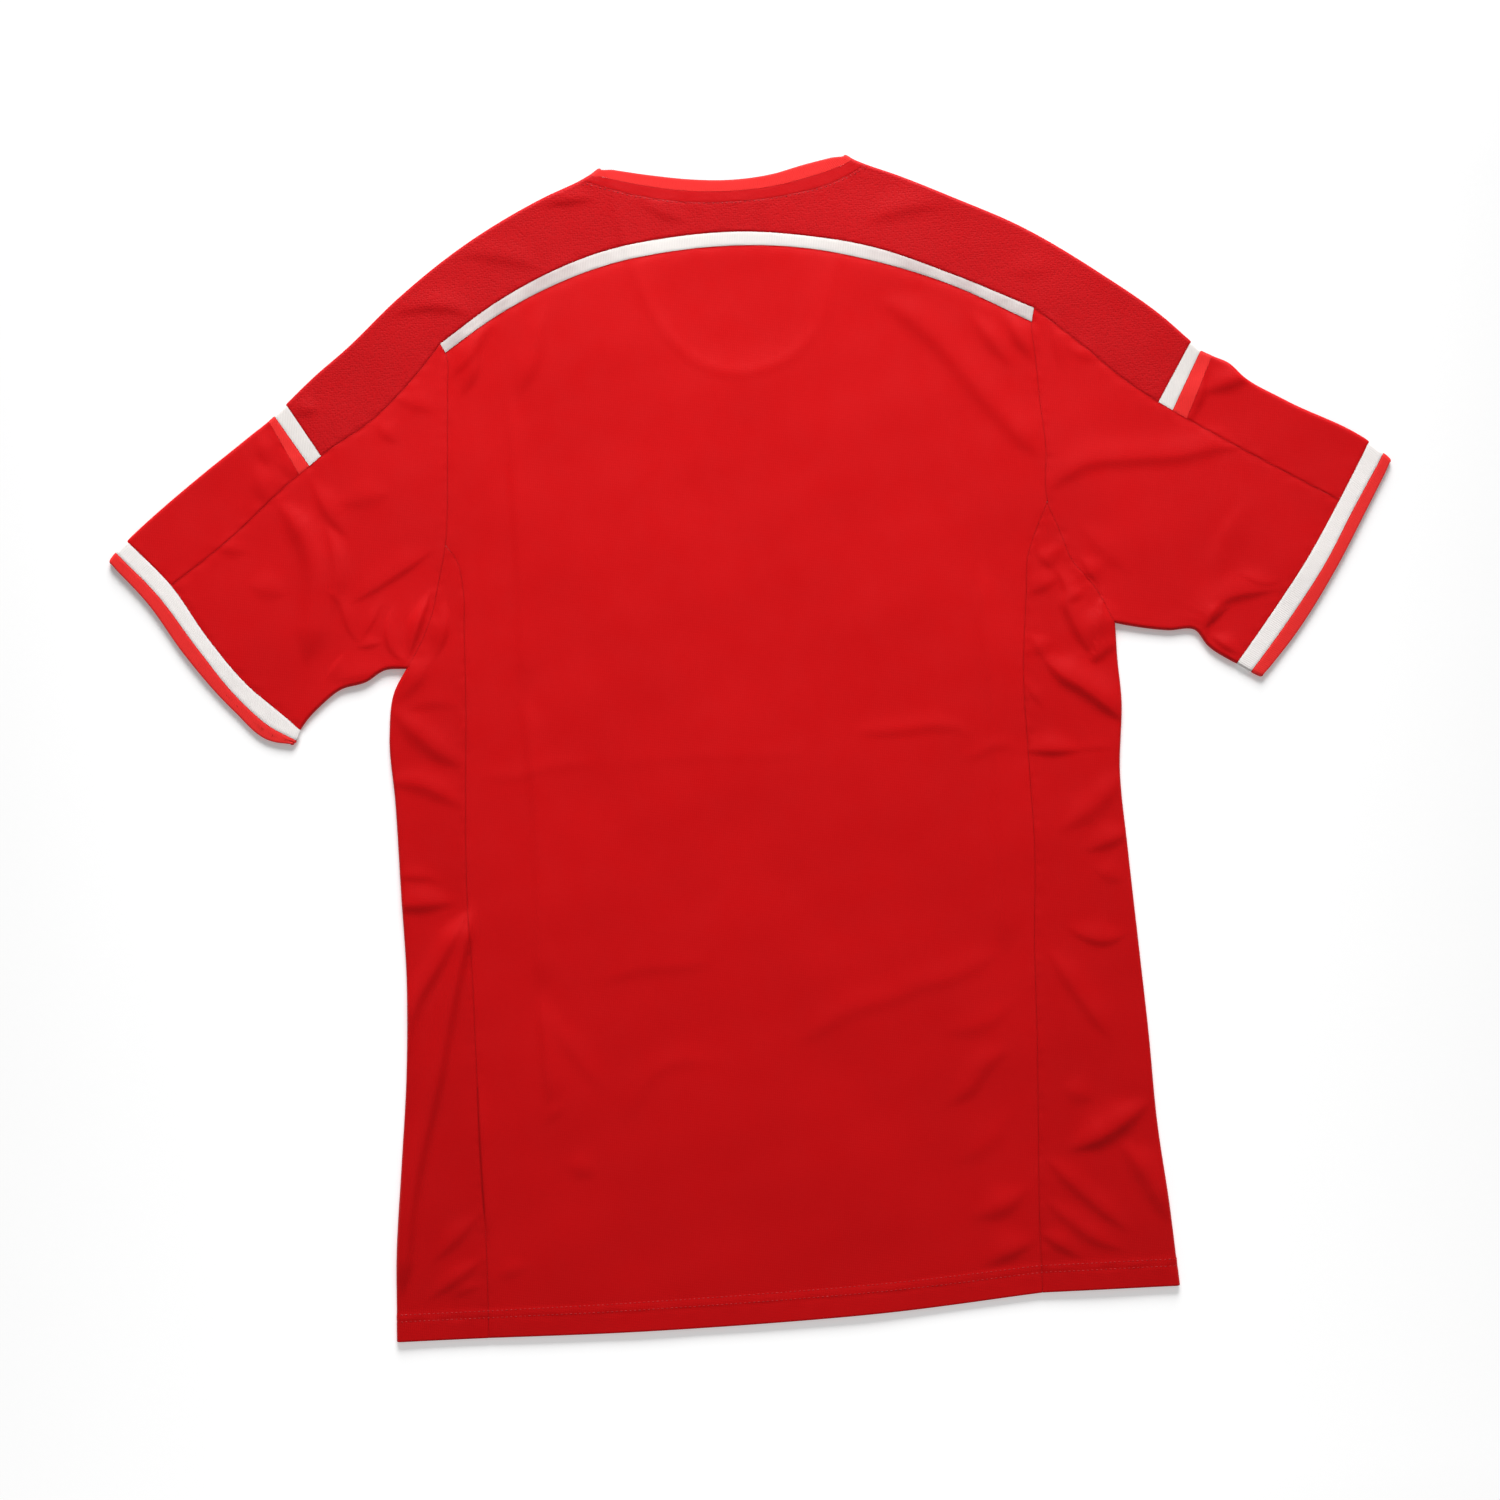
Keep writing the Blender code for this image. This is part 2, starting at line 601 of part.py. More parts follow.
def make_object(name, vertices, faces, material):
    """A mesh object in metres from vertices in millimetres."""
    mesh = bpy.data.meshes.new(name)
    mesh.from_pydata((vertices * MM).tolist(), [], faces)
    mesh.materials.append(material)
    mesh.shade_smooth()
    mesh.set_sharp_from_angle(angle=math.radians(SMOOTH_DEGREES))
    mesh.update()
    item = bpy.data.objects.new(name, mesh)
    bpy.context.scene.collection.objects.link(item)
    return item


def linear(channel):
    """An sRGB channel from 0 to 1 as a linear value."""
    return channel / 12.92 if channel <= 0.04045 else ((channel + 0.055) / 1.055) ** 2.4


def cloth_material(name, hex_colour, roughness):
    """A plain cloth finish from an sRGB colour such as C81A20."""
    material = bpy.data.materials.new(name)
    material.use_nodes = True
    shader = material.node_tree.nodes["Principled BSDF"]
    channels = [linear(int(hex_colour[i : i + 2], 16) / 255) for i in (0, 2, 4)]
    shader.inputs["Base Color"].default_value = (*channels, 1.0)
    shader.inputs["Roughness"].default_value = roughness
    shader.inputs["Metallic"].default_value = 0.0
    return material


def side_bend(side):
    """The fold of the body from hem to armpit."""
    points = BODY_FOLD[side].between("hem", "armpit", SIDE_CELLS)
    return bend_at(BODY_FOLD[side], points, (-1, armpit_outward(side)))


def underarm_bend(side):
    """The fold under the sleeve from armpit to cuff, with a row for each row of the upper seam."""
    cells = YOKE_SEAM_CELLS + 2 + SLEEVE_TOP_CELLS
    points = UNDERARM[side].between("armpit", "cuff", cells)
    return bend_at(UNDERARM[side], points, (0, armpit_outward(side)))


def top_bend(side, start, end, cells):
    """The shoulder and sleeve fold between two named rows."""
    return bend_at(TOP[side], TOP[side].between(start, end, cells))


def armhole_line(side):
    """Armhole seam from the corner of the yoke to the armpit, where it ends at the fold's inner line."""
    curve = ARMHOLES[side]
    line = join(
        curve.between("yoke", "stripe", 1),
        curve.between("stripe", "side", ARMHOLE_UPPER_CELLS),
        curve.between("side", "armpit", ARMHOLE_LOWER_CELLS),
    )
    line[-1] = side_bend(side).inner[-1]
    return line


def lower_armhole(side):
    """The lower part of the armhole seam, where the side panel meets the sleeve."""
    return armhole_line(side)[-ARMHOLE_LOWER_CELLS - 1 :]


def cuff_line(side, column):
    """A line round the upper layer of the cuff, from the top fold to the underarm fold."""
    curve = column_curve(CUFF_TABLE[side], column)
    across = 1 + ARMHOLE_UPPER_CELLS + ARMHOLE_LOWER_CELLS
    line = join(
        curve.between("fold", "seam", ACROSS_TOP_CELLS),
        curve.between("seam", "underarm", across),
    )
    row = FOLD_ROW[column]
    line[0] = bend_rows(TOP[side], [row]).inner[0]
    line[-1] = bend_rows(UNDERARM[side], [row]).inner[0]
    return line


def bend_rows(curve, rows):
    """The fold along a curve at some of its named rows."""
    return bend_at(curve, curve.read([curve.at(row) for row in rows]))


def crossing(side, row):
    """Straight line over the top of the sleeve at a named row, from the upper seam to the fold."""
    seam = SLEEVE_SEAM[side].read([SLEEVE_SEAM[side].at(row)])[0]
    inner = bend_rows(TOP[side], [row]).inner[0]
    shares = np.linspace(0, 1, ACROSS_TOP_CELLS + 1)[:, None]
    return seam + shares * (inner - seam)


def tape_side(column, side):
    """An edge of the white tape from its end to the level of the collar's end."""
    return column_curve(YOKE_STRIPE, column).between(side, side + "_collar", STRIPE_SIDE_CELLS)


def tape_middle(column):
    """An edge of the white tape below the collar, from left to right."""
    curve = column_curve(YOKE_STRIPE, column)
    return curve.between("left_collar", "right_collar", STRIPE_MIDDLE_CELLS)


def tape_line(column):
    """An edge of the white tape from left to right."""
    return join(tape_side(column, "left"), tape_middle(column), tape_side(column, "right")[::-1])


def hem_line(cells):
    """The lower edge of the front and back panels, from left to right."""
    names = ["left"] + [""] * (len(HEM) - 2) + ["right"]
    return Curve(names, HEM).between("left", "right", cells)


def make_back_panel(cloth):
    """Centre back, from the hem to the white tape, between the side seams and the armholes."""
    top = tape_line("lower")
    hem = hem_line(len(top) - 1)
    edges = {}
    for side in SIDES:
        seam = BODY_SEAM[side].between("hem", "armhole", SIDE_CELLS)
        armhole = armhole_line(side)[1 : 2 + ARMHOLE_UPPER_CELLS]
        edges[side] = join(seam, armhole[::-1])
    plan = patch(hem, top, edges["left"], edges["right"])
    points, normals = upper_layer(plan)
    return make_wall("back_panel", points, normals, grid_cells(*plan.shape[:2]), cloth)


def make_side_panel(side, cloth):
    """Side panel from the seam beside the back, round the side fold to the seam beside the front."""
    bend = side_bend(side)
    seam = BODY_SEAM[side].between("hem", "armhole", SIDE_CELLS)
    shares = np.linspace(0, 1, ARMHOLE_LOWER_CELLS + 1)[:, None]
    hem = seam[0] + shares * (bend.inner[0] - seam[0])
    plan = patch(hem, lower_armhole(side), seam, bend.inner)
    points, normals = wrapped(plan, bend, SIDE_LOWER_COLUMNS)
    return make_wall("side_panel_" + side, points, normals, grid_cells(*points.shape[:2]), cloth)


def make_sleeve(side, cloth):
    """Sleeve from its upper seam, round the underarm fold to the same seam at the front."""
    bend = underarm_bend(side)
    curve = SLEEVE_SEAM[side]
    seam = join(
        curve.between("yoke", "stripe", YOKE_SEAM_CELLS),
        curve.between("stripe", "line", 1),
        curve.between("line", "top", 1),
        curve.between("top", "cuff", SLEEVE_TOP_CELLS),
    )
    cuff = cuff_line(side, "seam")[ACROSS_TOP_CELLS:]
    plan = patch(armhole_line(side), cuff, seam, bend.inner)
    points, normals = wrapped(plan, bend, SLEEVE_LOWER_COLUMNS)
    return make_wall("sleeve_" + side, points, normals, grid_cells(*points.shape[:2]), cloth)


def make_top_piece(name, side, rows, cells, cloth):
    """A piece over the top of the sleeve between two rows of the fold."""
    start, end = rows
    last_row = crossing(side, end)
    if end == "cuff":
        last_row = cuff_line(side, "seam")[ACROSS_TOP_CELLS::-1]
    bend = top_bend(side, start, end, cells)
    seam = SLEEVE_SEAM[side].between(start, end, cells)
    plan = patch(crossing(side, start), last_row, seam, bend.inner)
    points, normals = wrapped(plan, bend, TOP_LOWER_COLUMNS)
    return make_wall(name + "_" + side, points, normals, grid_cells(*points.shape[:2]), cloth)


def make_cuff_piece(name, side, rows, cloth):
    """A band round the end of the sleeve between two rows of the cuff."""
    upper = np.stack([cuff_line(side, column) for column in rows])
    names = [FOLD_ROW[column] for column in rows]
    top = bend_rows(TOP[side], names)
    under = bend_rows(UNDERARM[side], names)
    sleeve = [ACROSS_TOP_CELLS + column for column in SLEEVE_LOWER_COLUMNS]
    sleeve_top = [ACROSS_TOP_CELLS - column for column in reversed(TOP_LOWER_COLUMNS[:-1])]
    points, normals = looped(upper, top, under, upper[:, sleeve + sleeve_top])
    cells = grid_cells(*points.shape[:2], closed=True)
    return make_wall(name + "_" + side, points, normals, cells, cloth)


def yoke_side(side):
    """Half of the yoke's plan from its sleeve end to the collar, and the shoulder fold along it."""
    cells = YOKE_SEAM_CELLS + STRIPE_SIDE_CELLS
    seam = join(
        SLEEVE_SEAM[side].between("stripe", "yoke", YOKE_SEAM_CELLS),
        tape_side("upper", side),
    )
    bend = top_bend(side, "stripe", "band", cells)
    collar = front_collar_side(side, bend.inner[-1])
    return patch(crossing(side, "stripe"), collar, seam, bend.inner), bend


def front_collar_side(side, inner):
    """The collar's front seam from the yoke's lower seam up to the shoulder fold."""
    line = FRONT_SEAM.between(side + "_collar", side, ACROSS_TOP_CELLS)
    line[-1] = inner
    return line


def back_neck_line(share):
    """A line round the back of the collar: share 0 is its free edge and share 1 its seam."""
    cells = STRIPE_MIDDLE_CELLS
    edge = column_curve(BACK_NECK, "edge").between("left", "right", cells)
    seam = column_curve(BACK_NECK, "seam").between("left", "right", cells)
    return edge + share * (seam - edge)


def front_neck_line(share):
    """A line round the front of the collar, as in back_neck_line, from right to left."""
    lines = []
    for curve in (FRONT_EDGE, FRONT_SEAM):
        line = join(
            curve.between("right", "right_collar", ACROSS_TOP_CELLS)[::2],
            curve.between("right_collar", "left_collar", FRONT_NECK_CELLS),
            curve.between("left_collar", "left", ACROSS_TOP_CELLS)[::2],
        )
        lines.append(line)
    return lines[0] + share * (lines[1] - lines[0])


def make_yoke(cloth):
    """Yoke over both shoulders, open at the neck, from the white tape to the front seam."""
    left, left_bend = yoke_side("left")
    right, right_bend = yoke_side("right")
    neck = back_neck_line(1.0)
    neck[0], neck[-1] = left_bend.inner[-1], right_bend.inner[-1]
    middle = patch(left[-1], right[-1], tape_middle("upper"), neck)
    left_grid = wrapped(left, left_bend, TOP_LOWER_COLUMNS)
    right_grid = wrapped(right, right_bend, TOP_LOWER_COLUMNS)
    middle_grid = upper_layer(middle)
    meet_ends(middle_grid[0], left_bend, right_bend)
    columns = left_grid[0].shape[1]
    spare = columns - middle.shape[1]
    filled = [np.pad(values[1:-1], ((0, 0), (0, spare), (0, 0))) for values in middle_grid]
    points = np.concatenate([left_grid[0], filled[0], right_grid[0][::-1]])
    normals = np.concatenate([left_grid[1], filled[1], right_grid[1][::-1]])
    open_rows = range(len(left) - 1, len(left) - 1 + STRIPE_MIDDLE_CELLS)
    open_columns = range(ACROSS_TOP_CELLS, columns - 1)
    skipped = {(row, column) for row in open_rows for column in open_columns}
    cells = grid_cells(*points.shape[:2], skipped=skipped)
    return make_wall("yoke", points, normals, cells, cloth)


def meet_ends(points, left_bend, right_bend):
    """Sets the corners of the yoke's middle to the height of the shoulder folds."""
    points[0, -1, 2] = LOWER_MIDDLE + 2 * left_bend.radius[-1]
    points[-1, -1, 2] = LOWER_MIDDLE + 2 * right_bend.radius[-1]


def make_yoke_stripe(cloth):
    """White tape between yoke and back panel."""
    plan = np.stack([tape_line("upper"), tape_line("lower")])
    points, normals = upper_layer(plan)
    return make_wall("yoke_stripe", points, normals, grid_cells(*plan.shape[:2]), cloth)


def make_collar_piece(name, shares, rows, cloth):
    """A ring round the neck opening between two shares of the collar's width."""
    upper = np.stack([back_neck_line(share) for share in shares])
    lower = np.stack([front_neck_line(share) for share in shares])
    bends = {side: bend_rows(TOP[side], rows) for side in SIDES}
    upper[:, 0], upper[:, -1] = bends["left"].inner, bends["right"].inner
    lower[:, 0], lower[:, -1] = bends["right"].inner, bends["left"].inner
    points, normals = looped(upper, bends["left"], bends["right"], lower)
    cells = grid_cells(*points.shape[:2], closed=True)
    return make_wall(name, points, normals, cells, cloth)


def make_front_panel(cloth):
    """Centre front, flat on the floor, from the hem to the collar and the yoke's front seams."""
    shared = [column for column in reversed(SLEEVE_LOWER_COLUMNS) if column <= 1 + ARMHOLE_UPPER_CELLS]
    up, down = {}, {}
    for side in SIDES:
        seam = BODY_SEAM[side].between("hem", "armhole", SIDE_CELLS)
        up[side] = join(seam, armhole_line(side)[shared][::-1])
        down[side] = tape_side("upper", side)
    hem = hem_line(STRIPE_MIDDLE_CELLS)
    collar = FRONT_SEAM.between("right_collar", "left_collar", FRONT_NECK_CELLS)
    outline = join(hem, up["right"], down["right"], collar, down["left"][::-1], up["left"][::-1])[:-1]
    return make_plate("front_panel", outline, cloth)


def clear_scene():
    """Removes whatever the file holds."""
    for item in list(bpy.data.objects):
        bpy.data.objects.remove(item)


def main():
    clear_scene()
    knit = cloth_material("red polyester interlock knit", "D21C23", 0.62)
    side_knit = cloth_material("red polyester side knit", "C1141B", 0.66)
    yoke_knit = cloth_material("red textured yoke knit", "C4171F", 0.7)
    neckband = cloth_material("red polyester neckband", "CC1C23", 0.6)
    white = cloth_material("white satin tape", "F1E6E4", 0.5)
    bright = cloth_material("orange-red rib", "ED4140", 0.6)
    make_back_panel(knit)
    make_front_panel(knit)
    make_yoke(yoke_knit)
    make_yoke_stripe(white)
    make_collar_piece("collar_edge", (0.0, BINDING_SHARE), ("neck", "binding"), bright)
    make_collar_piece("collar_band", (BINDING_SHARE, 1.0), ("binding", "band"), neckband)
    for side in SIDES:
        make_side_panel(side, side_knit)
        make_sleeve(side, knit)
        make_top_piece("sleeve_stripe", side, ("stripe", "line"), 1, white)
        make_top_piece("sleeve_line", side, ("line", "top"), 1, bright)
        make_top_piece("sleeve_top", side, ("top", "cuff"), SLEEVE_TOP_CELLS, knit)
        make_cuff_piece("cuff_band", side, ("seam", "edge"), white)
        make_cuff_piece("cuff_edge", side, ("edge", "end"), bright)


main()
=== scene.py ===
"""Football jersey laid flat with its back up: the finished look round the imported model.

The file is laid out as an add-on and run as a script. Each cut piece is a thin shell of cloth that takes
the place of its plain solid. It lies on the same plan curves, is rounded over the same folds of the
garment, and has the creases in it and a groove along each seam. Sizes of the cut are in millimetres, x
from the centre line and y up from the hem. Properties, meshes and the stage are in metres.
"""

from collections import namedtuple
from functools import cache
import math

import bpy
from bpy.props import FloatProperty, FloatVectorProperty, PointerProperty
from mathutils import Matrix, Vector
import numpy as np


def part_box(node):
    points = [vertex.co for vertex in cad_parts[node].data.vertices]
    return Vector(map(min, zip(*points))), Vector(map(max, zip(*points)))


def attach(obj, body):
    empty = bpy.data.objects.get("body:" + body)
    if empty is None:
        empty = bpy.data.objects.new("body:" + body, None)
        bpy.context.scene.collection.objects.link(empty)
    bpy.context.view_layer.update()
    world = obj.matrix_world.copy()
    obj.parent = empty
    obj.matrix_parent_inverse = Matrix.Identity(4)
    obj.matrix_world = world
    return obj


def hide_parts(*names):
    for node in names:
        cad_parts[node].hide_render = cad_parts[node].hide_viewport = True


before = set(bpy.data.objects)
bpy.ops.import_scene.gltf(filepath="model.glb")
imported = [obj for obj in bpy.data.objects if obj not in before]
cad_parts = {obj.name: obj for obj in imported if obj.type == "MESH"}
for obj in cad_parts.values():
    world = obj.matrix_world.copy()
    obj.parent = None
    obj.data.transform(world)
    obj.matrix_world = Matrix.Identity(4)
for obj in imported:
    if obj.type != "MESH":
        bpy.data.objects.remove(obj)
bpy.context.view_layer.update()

bl_info = {
    "name": "Football Jersey",
    "version": (1, 0, 0),
    "blender": (4, 5, 0),
    "location": "View3D > Sidebar > Jersey",
    "description": "Cloth, sewing and stage for a football jersey that lies flat",
    "category": "Object",
}

MM = 0.001
TINY = 1e-9  # keeps a length of nothing from being divided by

Print = namedtuple("Print", "rise place width")

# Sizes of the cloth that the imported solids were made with, in millimetres.
WALL = 1.2  # thickness of the solids' walls
LAYER_HEIGHT = 3.4  # middle of the upper layer, well inside the garment
FOLD_RISE = 0.3  # how much higher the upper layer stands at a fold of the garment
FOLD_REACH = 11.0  # how far that rise reaches inwards
FOLD_FADE = 3  # times that reach, beyond which the rise is nothing
NECK_SINK = 0.5  # how far the upper layer sinks where the front neckline leaves nothing below it
NECK_REACH = 24.0  # how far inside the front neckline the cloth has sunk so far
NECK_PRINT = Print(rise=0.28, place=5.0, width=4.0)  # the collar's front edge, seen through the back
LOWEST_UPPER = 2.35  # the middle of the upper layer never sinks below this
GARMENT_CENTRE = (10.0, 385.0)  # middle of the outline, which is the origin
BINDING_SHARE = 0.52  # of the collar's width that its bright binding takes
COLLAR_ROWS = {0.0: "neck", BINDING_SHARE: "binding", 1.0: "band"}  # rows of the shoulder fold at its shares
LOWER_MIDDLE = WALL / 2
CURVE_STEPS = 16  # straight steps that stand for a curve between two rows of its table
CREASE_STEPS = 5  # straight steps that stand for a crease between two points of its path
NECK_STEPS = 8 * CURVE_STEPS  # straight steps of the neckline at the back
# Straight steps of the neckline at the front, from the left shoulder to the right one.
FRONT_NECK_STEPS = (
    ("left", "left_collar", 2 * CURVE_STEPS),
    ("left_collar", "right_collar", 6 * CURVE_STEPS),
    ("right_collar", "right", 2 * CURVE_STEPS),
)
CREASE_TAPER = 28.0  # length over which each end of a crease fades
CREASE_ENDS = 0.5  # the most of a crease's length that one fading end takes
CREASE_POINT = 0.4  # share of a crease's width that is left at its ends
CREST_SHIFT = 0.7  # from the steepest place of a crease to its crest, as a share of its steep side
CREASE_REACH = 2.6  # widths over which a crease still shows
OUTLINE_STRIDE = 4  # every fourth step of a curve is fine enough for distances to it
PLACE_SLACK = 4.0  # how far a shell's box may differ from its solid's

# Finer sizes of the shells, in millimetres.
RUN_STEP = 2.0  # between points read from a curve
TANGENT_REACH = 8.0  # to each side of a point, gives a curve's direction there
CORNER_REACH = 12.0  # over which two folds that meet turn to one direction
END_REACH = 10.0  # over which a line's end is eased to the fold that it meets
BEND_CELLS = 8  # cells round a fold of the garment
UNDER_STRIDE = 3  # the lower layer has every third column of the upper one
UNDER_SHARE = 0.15  # of a crease's rise that shows in the lower layer
UNDER_RELIEF = 0.5  # the most that the lower layer lifts off the floor
SEAM_LEVELS = (0.0, 0.45, 0.95, 1.6, 2.7)  # rows of the mesh beside a seam
EDGE_LEVELS = (0.0, 0.3, 0.8, 1.6, 2.7)  # rows beside a free edge
PLAIN = (0.0,)  # no closer rows
HEM_ROWS = (13.5, 18.0)  # the two needle rows, above the hem
HEM_LEVELS = (0.0, 0.3, 0.8, 1.6, 4.0, 6.5, 9.0, 11.0, 12.6, 13.5, 14.4, 15.7, 17.1, 18.0, 18.9, 20.2, 22.0)
NECK_NEEDLE = 1.6  # needle row of the collar, outside its seam
DRAWN_SEAM = (84.0, 171.0)  # stretch of the left side seam, above the hem line, that a fold pulls in
YOKE_DEPTH = 44.0  # of the yoke's wings, from the white tape's level to the shoulder fold
SMALLEST_CUT = 0.010  # in metres; a narrower tape is cut from a strip of this width

# Sizes of the sewing, in millimetres.
SEAM_REACH = 12.0  # how far from a seam or edge the sewing still shows
GROOVE_WIDTH = 0.8
LAPPED_WIDTH = 3.0  # of a groove on the side that runs in under the other
SHADE_WIDTH = 0.75  # of the painted shade along a seam, a dark line that stands in for the shadow in its groove
# painted shade in the grooves of the hem's two needle rows
NEEDLE_SHADE = 0.12
SEAM_STRENGTH = {"crisp": 1.0, "plain": 0.6, "soft": 0.35, "faint": 0.12}  # of the grooves and of the painted shade along them
HEM_REACH = 26.0
HEM_RISE = 0.3  # of the doubled cloth of the hem
HEM_MARGIN = 1.6  # of doubled cloth above the upper needle row
NEEDLE_DEPTH = 0.12
NEEDLE_WIDTH = 0.75
EDGE_DROP = 0.35  # how far a free edge rounds off
EDGE_ROUND = 0.9
EDGE_THIN = 0.5  # share of the thickness that is lost at a free edge
SHARP_DEGREES = 50
CORNER_LEAST = 0.5  # the least that a corner's two directions add up to, squared
STITCH_SHARE = 0.62  # of the pitch that a stitch shows
STITCH_SEED = 7
STITCH_STRETCH = (0.88, 1.08)  # shortest and longest stitch, as shares of the usual one
BEAD_SIDES, BEAD_RINGS = 6, 4
THREAD_TWIST = 0.6
FRONT_CELLS = 2.4  # cells of a piece, as shares of those of the back
SIDE_CELLS = 0.62
SLEEVE_CELLS = 0.6
YOKE_CELLS = 0.72
TAPE_CELLS = 0.7
CORNER_ROUND = 2.6  # of a band's end at its free edge

# Sizes of what repeats or varies over a cloth, in millimetres, and its strengths.
WALE, BAND_WALE = 1.3, 1.1  # width of a loop in the knit and in the neckband
COURSE_SHARE = 0.8  # height of a loop, as a share of its width
LOOP_LEAN = 2.4  # how far the legs of a loop lean, in radians
COURSE_RELIEF, WALE_RELIEF = 0.3, 0.2  # what the rows and the columns of loops add to the relief
PORE_PITCH = 1.5
PORE_STRAY = 0.55  # how far the pores stray from even rows
PORE_SHARE = 0.62  # of the pitch from the middle of a pore to the top of the threads round it
RIB_PITCH = 1.3
TAPE_PITCH = 1.1
# The tapes carry a painted sheen: white in the middle of the back and on the sleeves, with painted shade that
# greys them towards the shoulders and in patches.
TAPE_PATCH = 15
TAPE_PATCH_LEAST = 0.5  # painted shade of a tape's lightest patch, as a share of that of its darkest
TAPE_SHADE_IN = (0.05, 0.12)  # in metres from the centre line, where the painted shade on a tape starts and where it is deepest
TAPE_SHADE_OUT = (0.24, 0.20)  # in metres from it, where a tape is left unshaded again and where the painted shade is still deepest
CLOUD = 90.0
FLECK = 2.2
FLECK_SHADE = 0.97
GLOSS_PATCH = 14.0
PATCH_RANGE = {"from_min": 0.3, "from_max": 0.7}  # of the noise, drawn out to run from 0 to 1
PATCH_ROUGHNESS = 0.55
PLY_SHADE = 0.7  # painted shade between a thread's plies: the share of its colour that is left there
PAPER_PATCH = 4.0
PAPER_SHADE = 0.99
WHITE = (1.0, 1.0, 1.0, 1.0)
RED_GLOSS = (1.0, 0.7, 0.75, 1.0)  # tint of the light that dyed polyester throws back

# Stage, in metres.
FLOOR_SIDE = 12.0
FLOOR_GAP = 0.0002
GLOW_FAR, GLOW_NEAR = 0.35, -0.5  # places between which the floor's own light grows towards the hem
KEY_PLACE = (0.12, 2.2, 1.0)
KEY_AIM = (0.0, 0.8, 0.0)
KEY_SIZE = 1.6
KEY_SPREAD = math.radians(60)
CAMERA_PLACE = (-0.0100, -0.0050)
SENSOR = 36.0
CLIP_HEIGHTS = 4  # how far the camera sees, in times its height

NEEDLES = {"hem": [], "neck": []}


Knot = namedtuple("Knot", "name left_x left_y right_x right_y")
Tape = namedtuple("Tape", "name upper_x upper_y lower_x lower_y")
Neck = namedtuple("Neck", "name edge_x edge_y seam_x seam_y")
Cuff = namedtuple("Cuff", "name seam_x seam_y edge_x edge_y end_x end_y")
Crease = namedtuple("Crease", "name rise steep gentle path")
Wave = namedtuple("Wave", "length rise degrees phase")

# Fold of the body at its sides, from the hem to the armpit.
SIDE_FOLD = (
    Knot("hem", -256, 5, 260, 10),
    Knot("", -253, 60, 257, 60),
    Knot("", -246, 120, 252, 120),
    Knot("", -239, 180, 250, 180),
    Knot("", -235, 240, 247, 240),
    Knot("", -235, 300, 244, 300),
    Knot("", -235, 360, 242, 350),
    Knot("", -236, 405, 246, 400),
    Knot("", -231, 433, 245, 425),
    Knot("armpit", -222, 448, 245, 449),
)

# Seam between back and side panel, from the hem to the armhole.
SIDE_SEAM = (
    Knot("hem", -196, 4, 170, 11),
    Knot("", -194, 60, 171, 60),
    Knot("", -194, 120, 174, 120),
    Knot("", -193, 180, 177, 180),
    Knot("", -192, 240, 179, 240),
    Knot("", -192, 300, 183, 300),
    Knot("", -189, 360, 183, 360),
    Knot("", -185, 420, 183, 420),
    Knot("", -183, 470, 188, 470),
    Knot("", -182, 498, 191, 497),
    Knot("", -186, 519, 198, 515),
    Knot("armhole", -192, 527, 206, 531),
)

# Armhole seam, from the corner of the yoke to the armpit.
ARMHOLE = (
    Knot("yoke", -187, 660, 205, 659),
    Knot("stripe", -184, 654, 203, 650),
    Knot("", -184, 630, 204, 625),
    Knot("", -186, 600, 205, 600),
    Knot("", -188, 567, 207, 567),
    Knot("side", -192, 527, 206, 531),
    Knot("", -198, 503, 213, 511),
    Knot("", -203, 484, 219, 493),
    Knot("", -211, 466, 233, 474),
    Knot("armpit", -222, 448, 245, 449),
)

# Fold along the shoulder and the top of the sleeve, from the neck to the end of the cuff.
TOP_FOLD = (
    Knot("neck", -75, 769.2, 87, 768),
    Knot("binding", -80.5, 765.2, 91.5, 764.5),
    Knot("band", -86, 762.3, 99, 760.8),
    Knot("", -114, 751, 120, 752),
    Knot("", -171, 721, 158, 734),
    Knot("", -213, 691, 196, 715),
    Knot("", -249, 660, 251, 678),
    Knot("", -270, 644, 290, 647),
    Knot("stripe", -291, 626, 307, 630),
    Knot("line", -299, 619, 313, 624),
    Knot("top", -303, 615.7, 320, 620),
    Knot("", -314, 608, 331, 614.3),
    Knot("", -326, 599.5, 339.5, 605.3),
    Knot("", -348, 584, 366, 588),
    Knot("cuff", -401, 543, 420, 557),
    Knot("edge", -409, 536, 429, 549),
    Knot("end", -414, 530, 434, 544),
)

# Fold under the sleeve, from the armpit to the end of the cuff.
UNDERARM_FOLD = (
    Knot("armpit", -222, 448, 245, 449),
    Knot("", -237, 448, 262, 445),
    Knot("", -250, 441, 280, 442),
    Knot("", -267, 437, 298, 441),
    Knot("", -280, 428, 306, 430),
    Knot("cuff", -295, 412, 324, 417),
    Knot("edge", -298, 405, 333, 411),
    Knot("end", -301, 402, 340, 407),
)

# Seam that runs down the sleeve from the corner of the yoke to the cuff.
UPPER_SEAM = (
    Knot("yoke", -187, 660, 205, 659),
    Knot("", -202, 643, 237, 631),
    Knot("", -232, 615, 263, 607),
    Knot("stripe", -270, 591, 283, 592),
    Knot("line", -278, 585, 292, 586),
    Knot("top", -285.2, 580, 301, 580),
    Knot("", -334, 540, 347, 551),
    Knot("cuff", -374, 512, 398, 520),
)

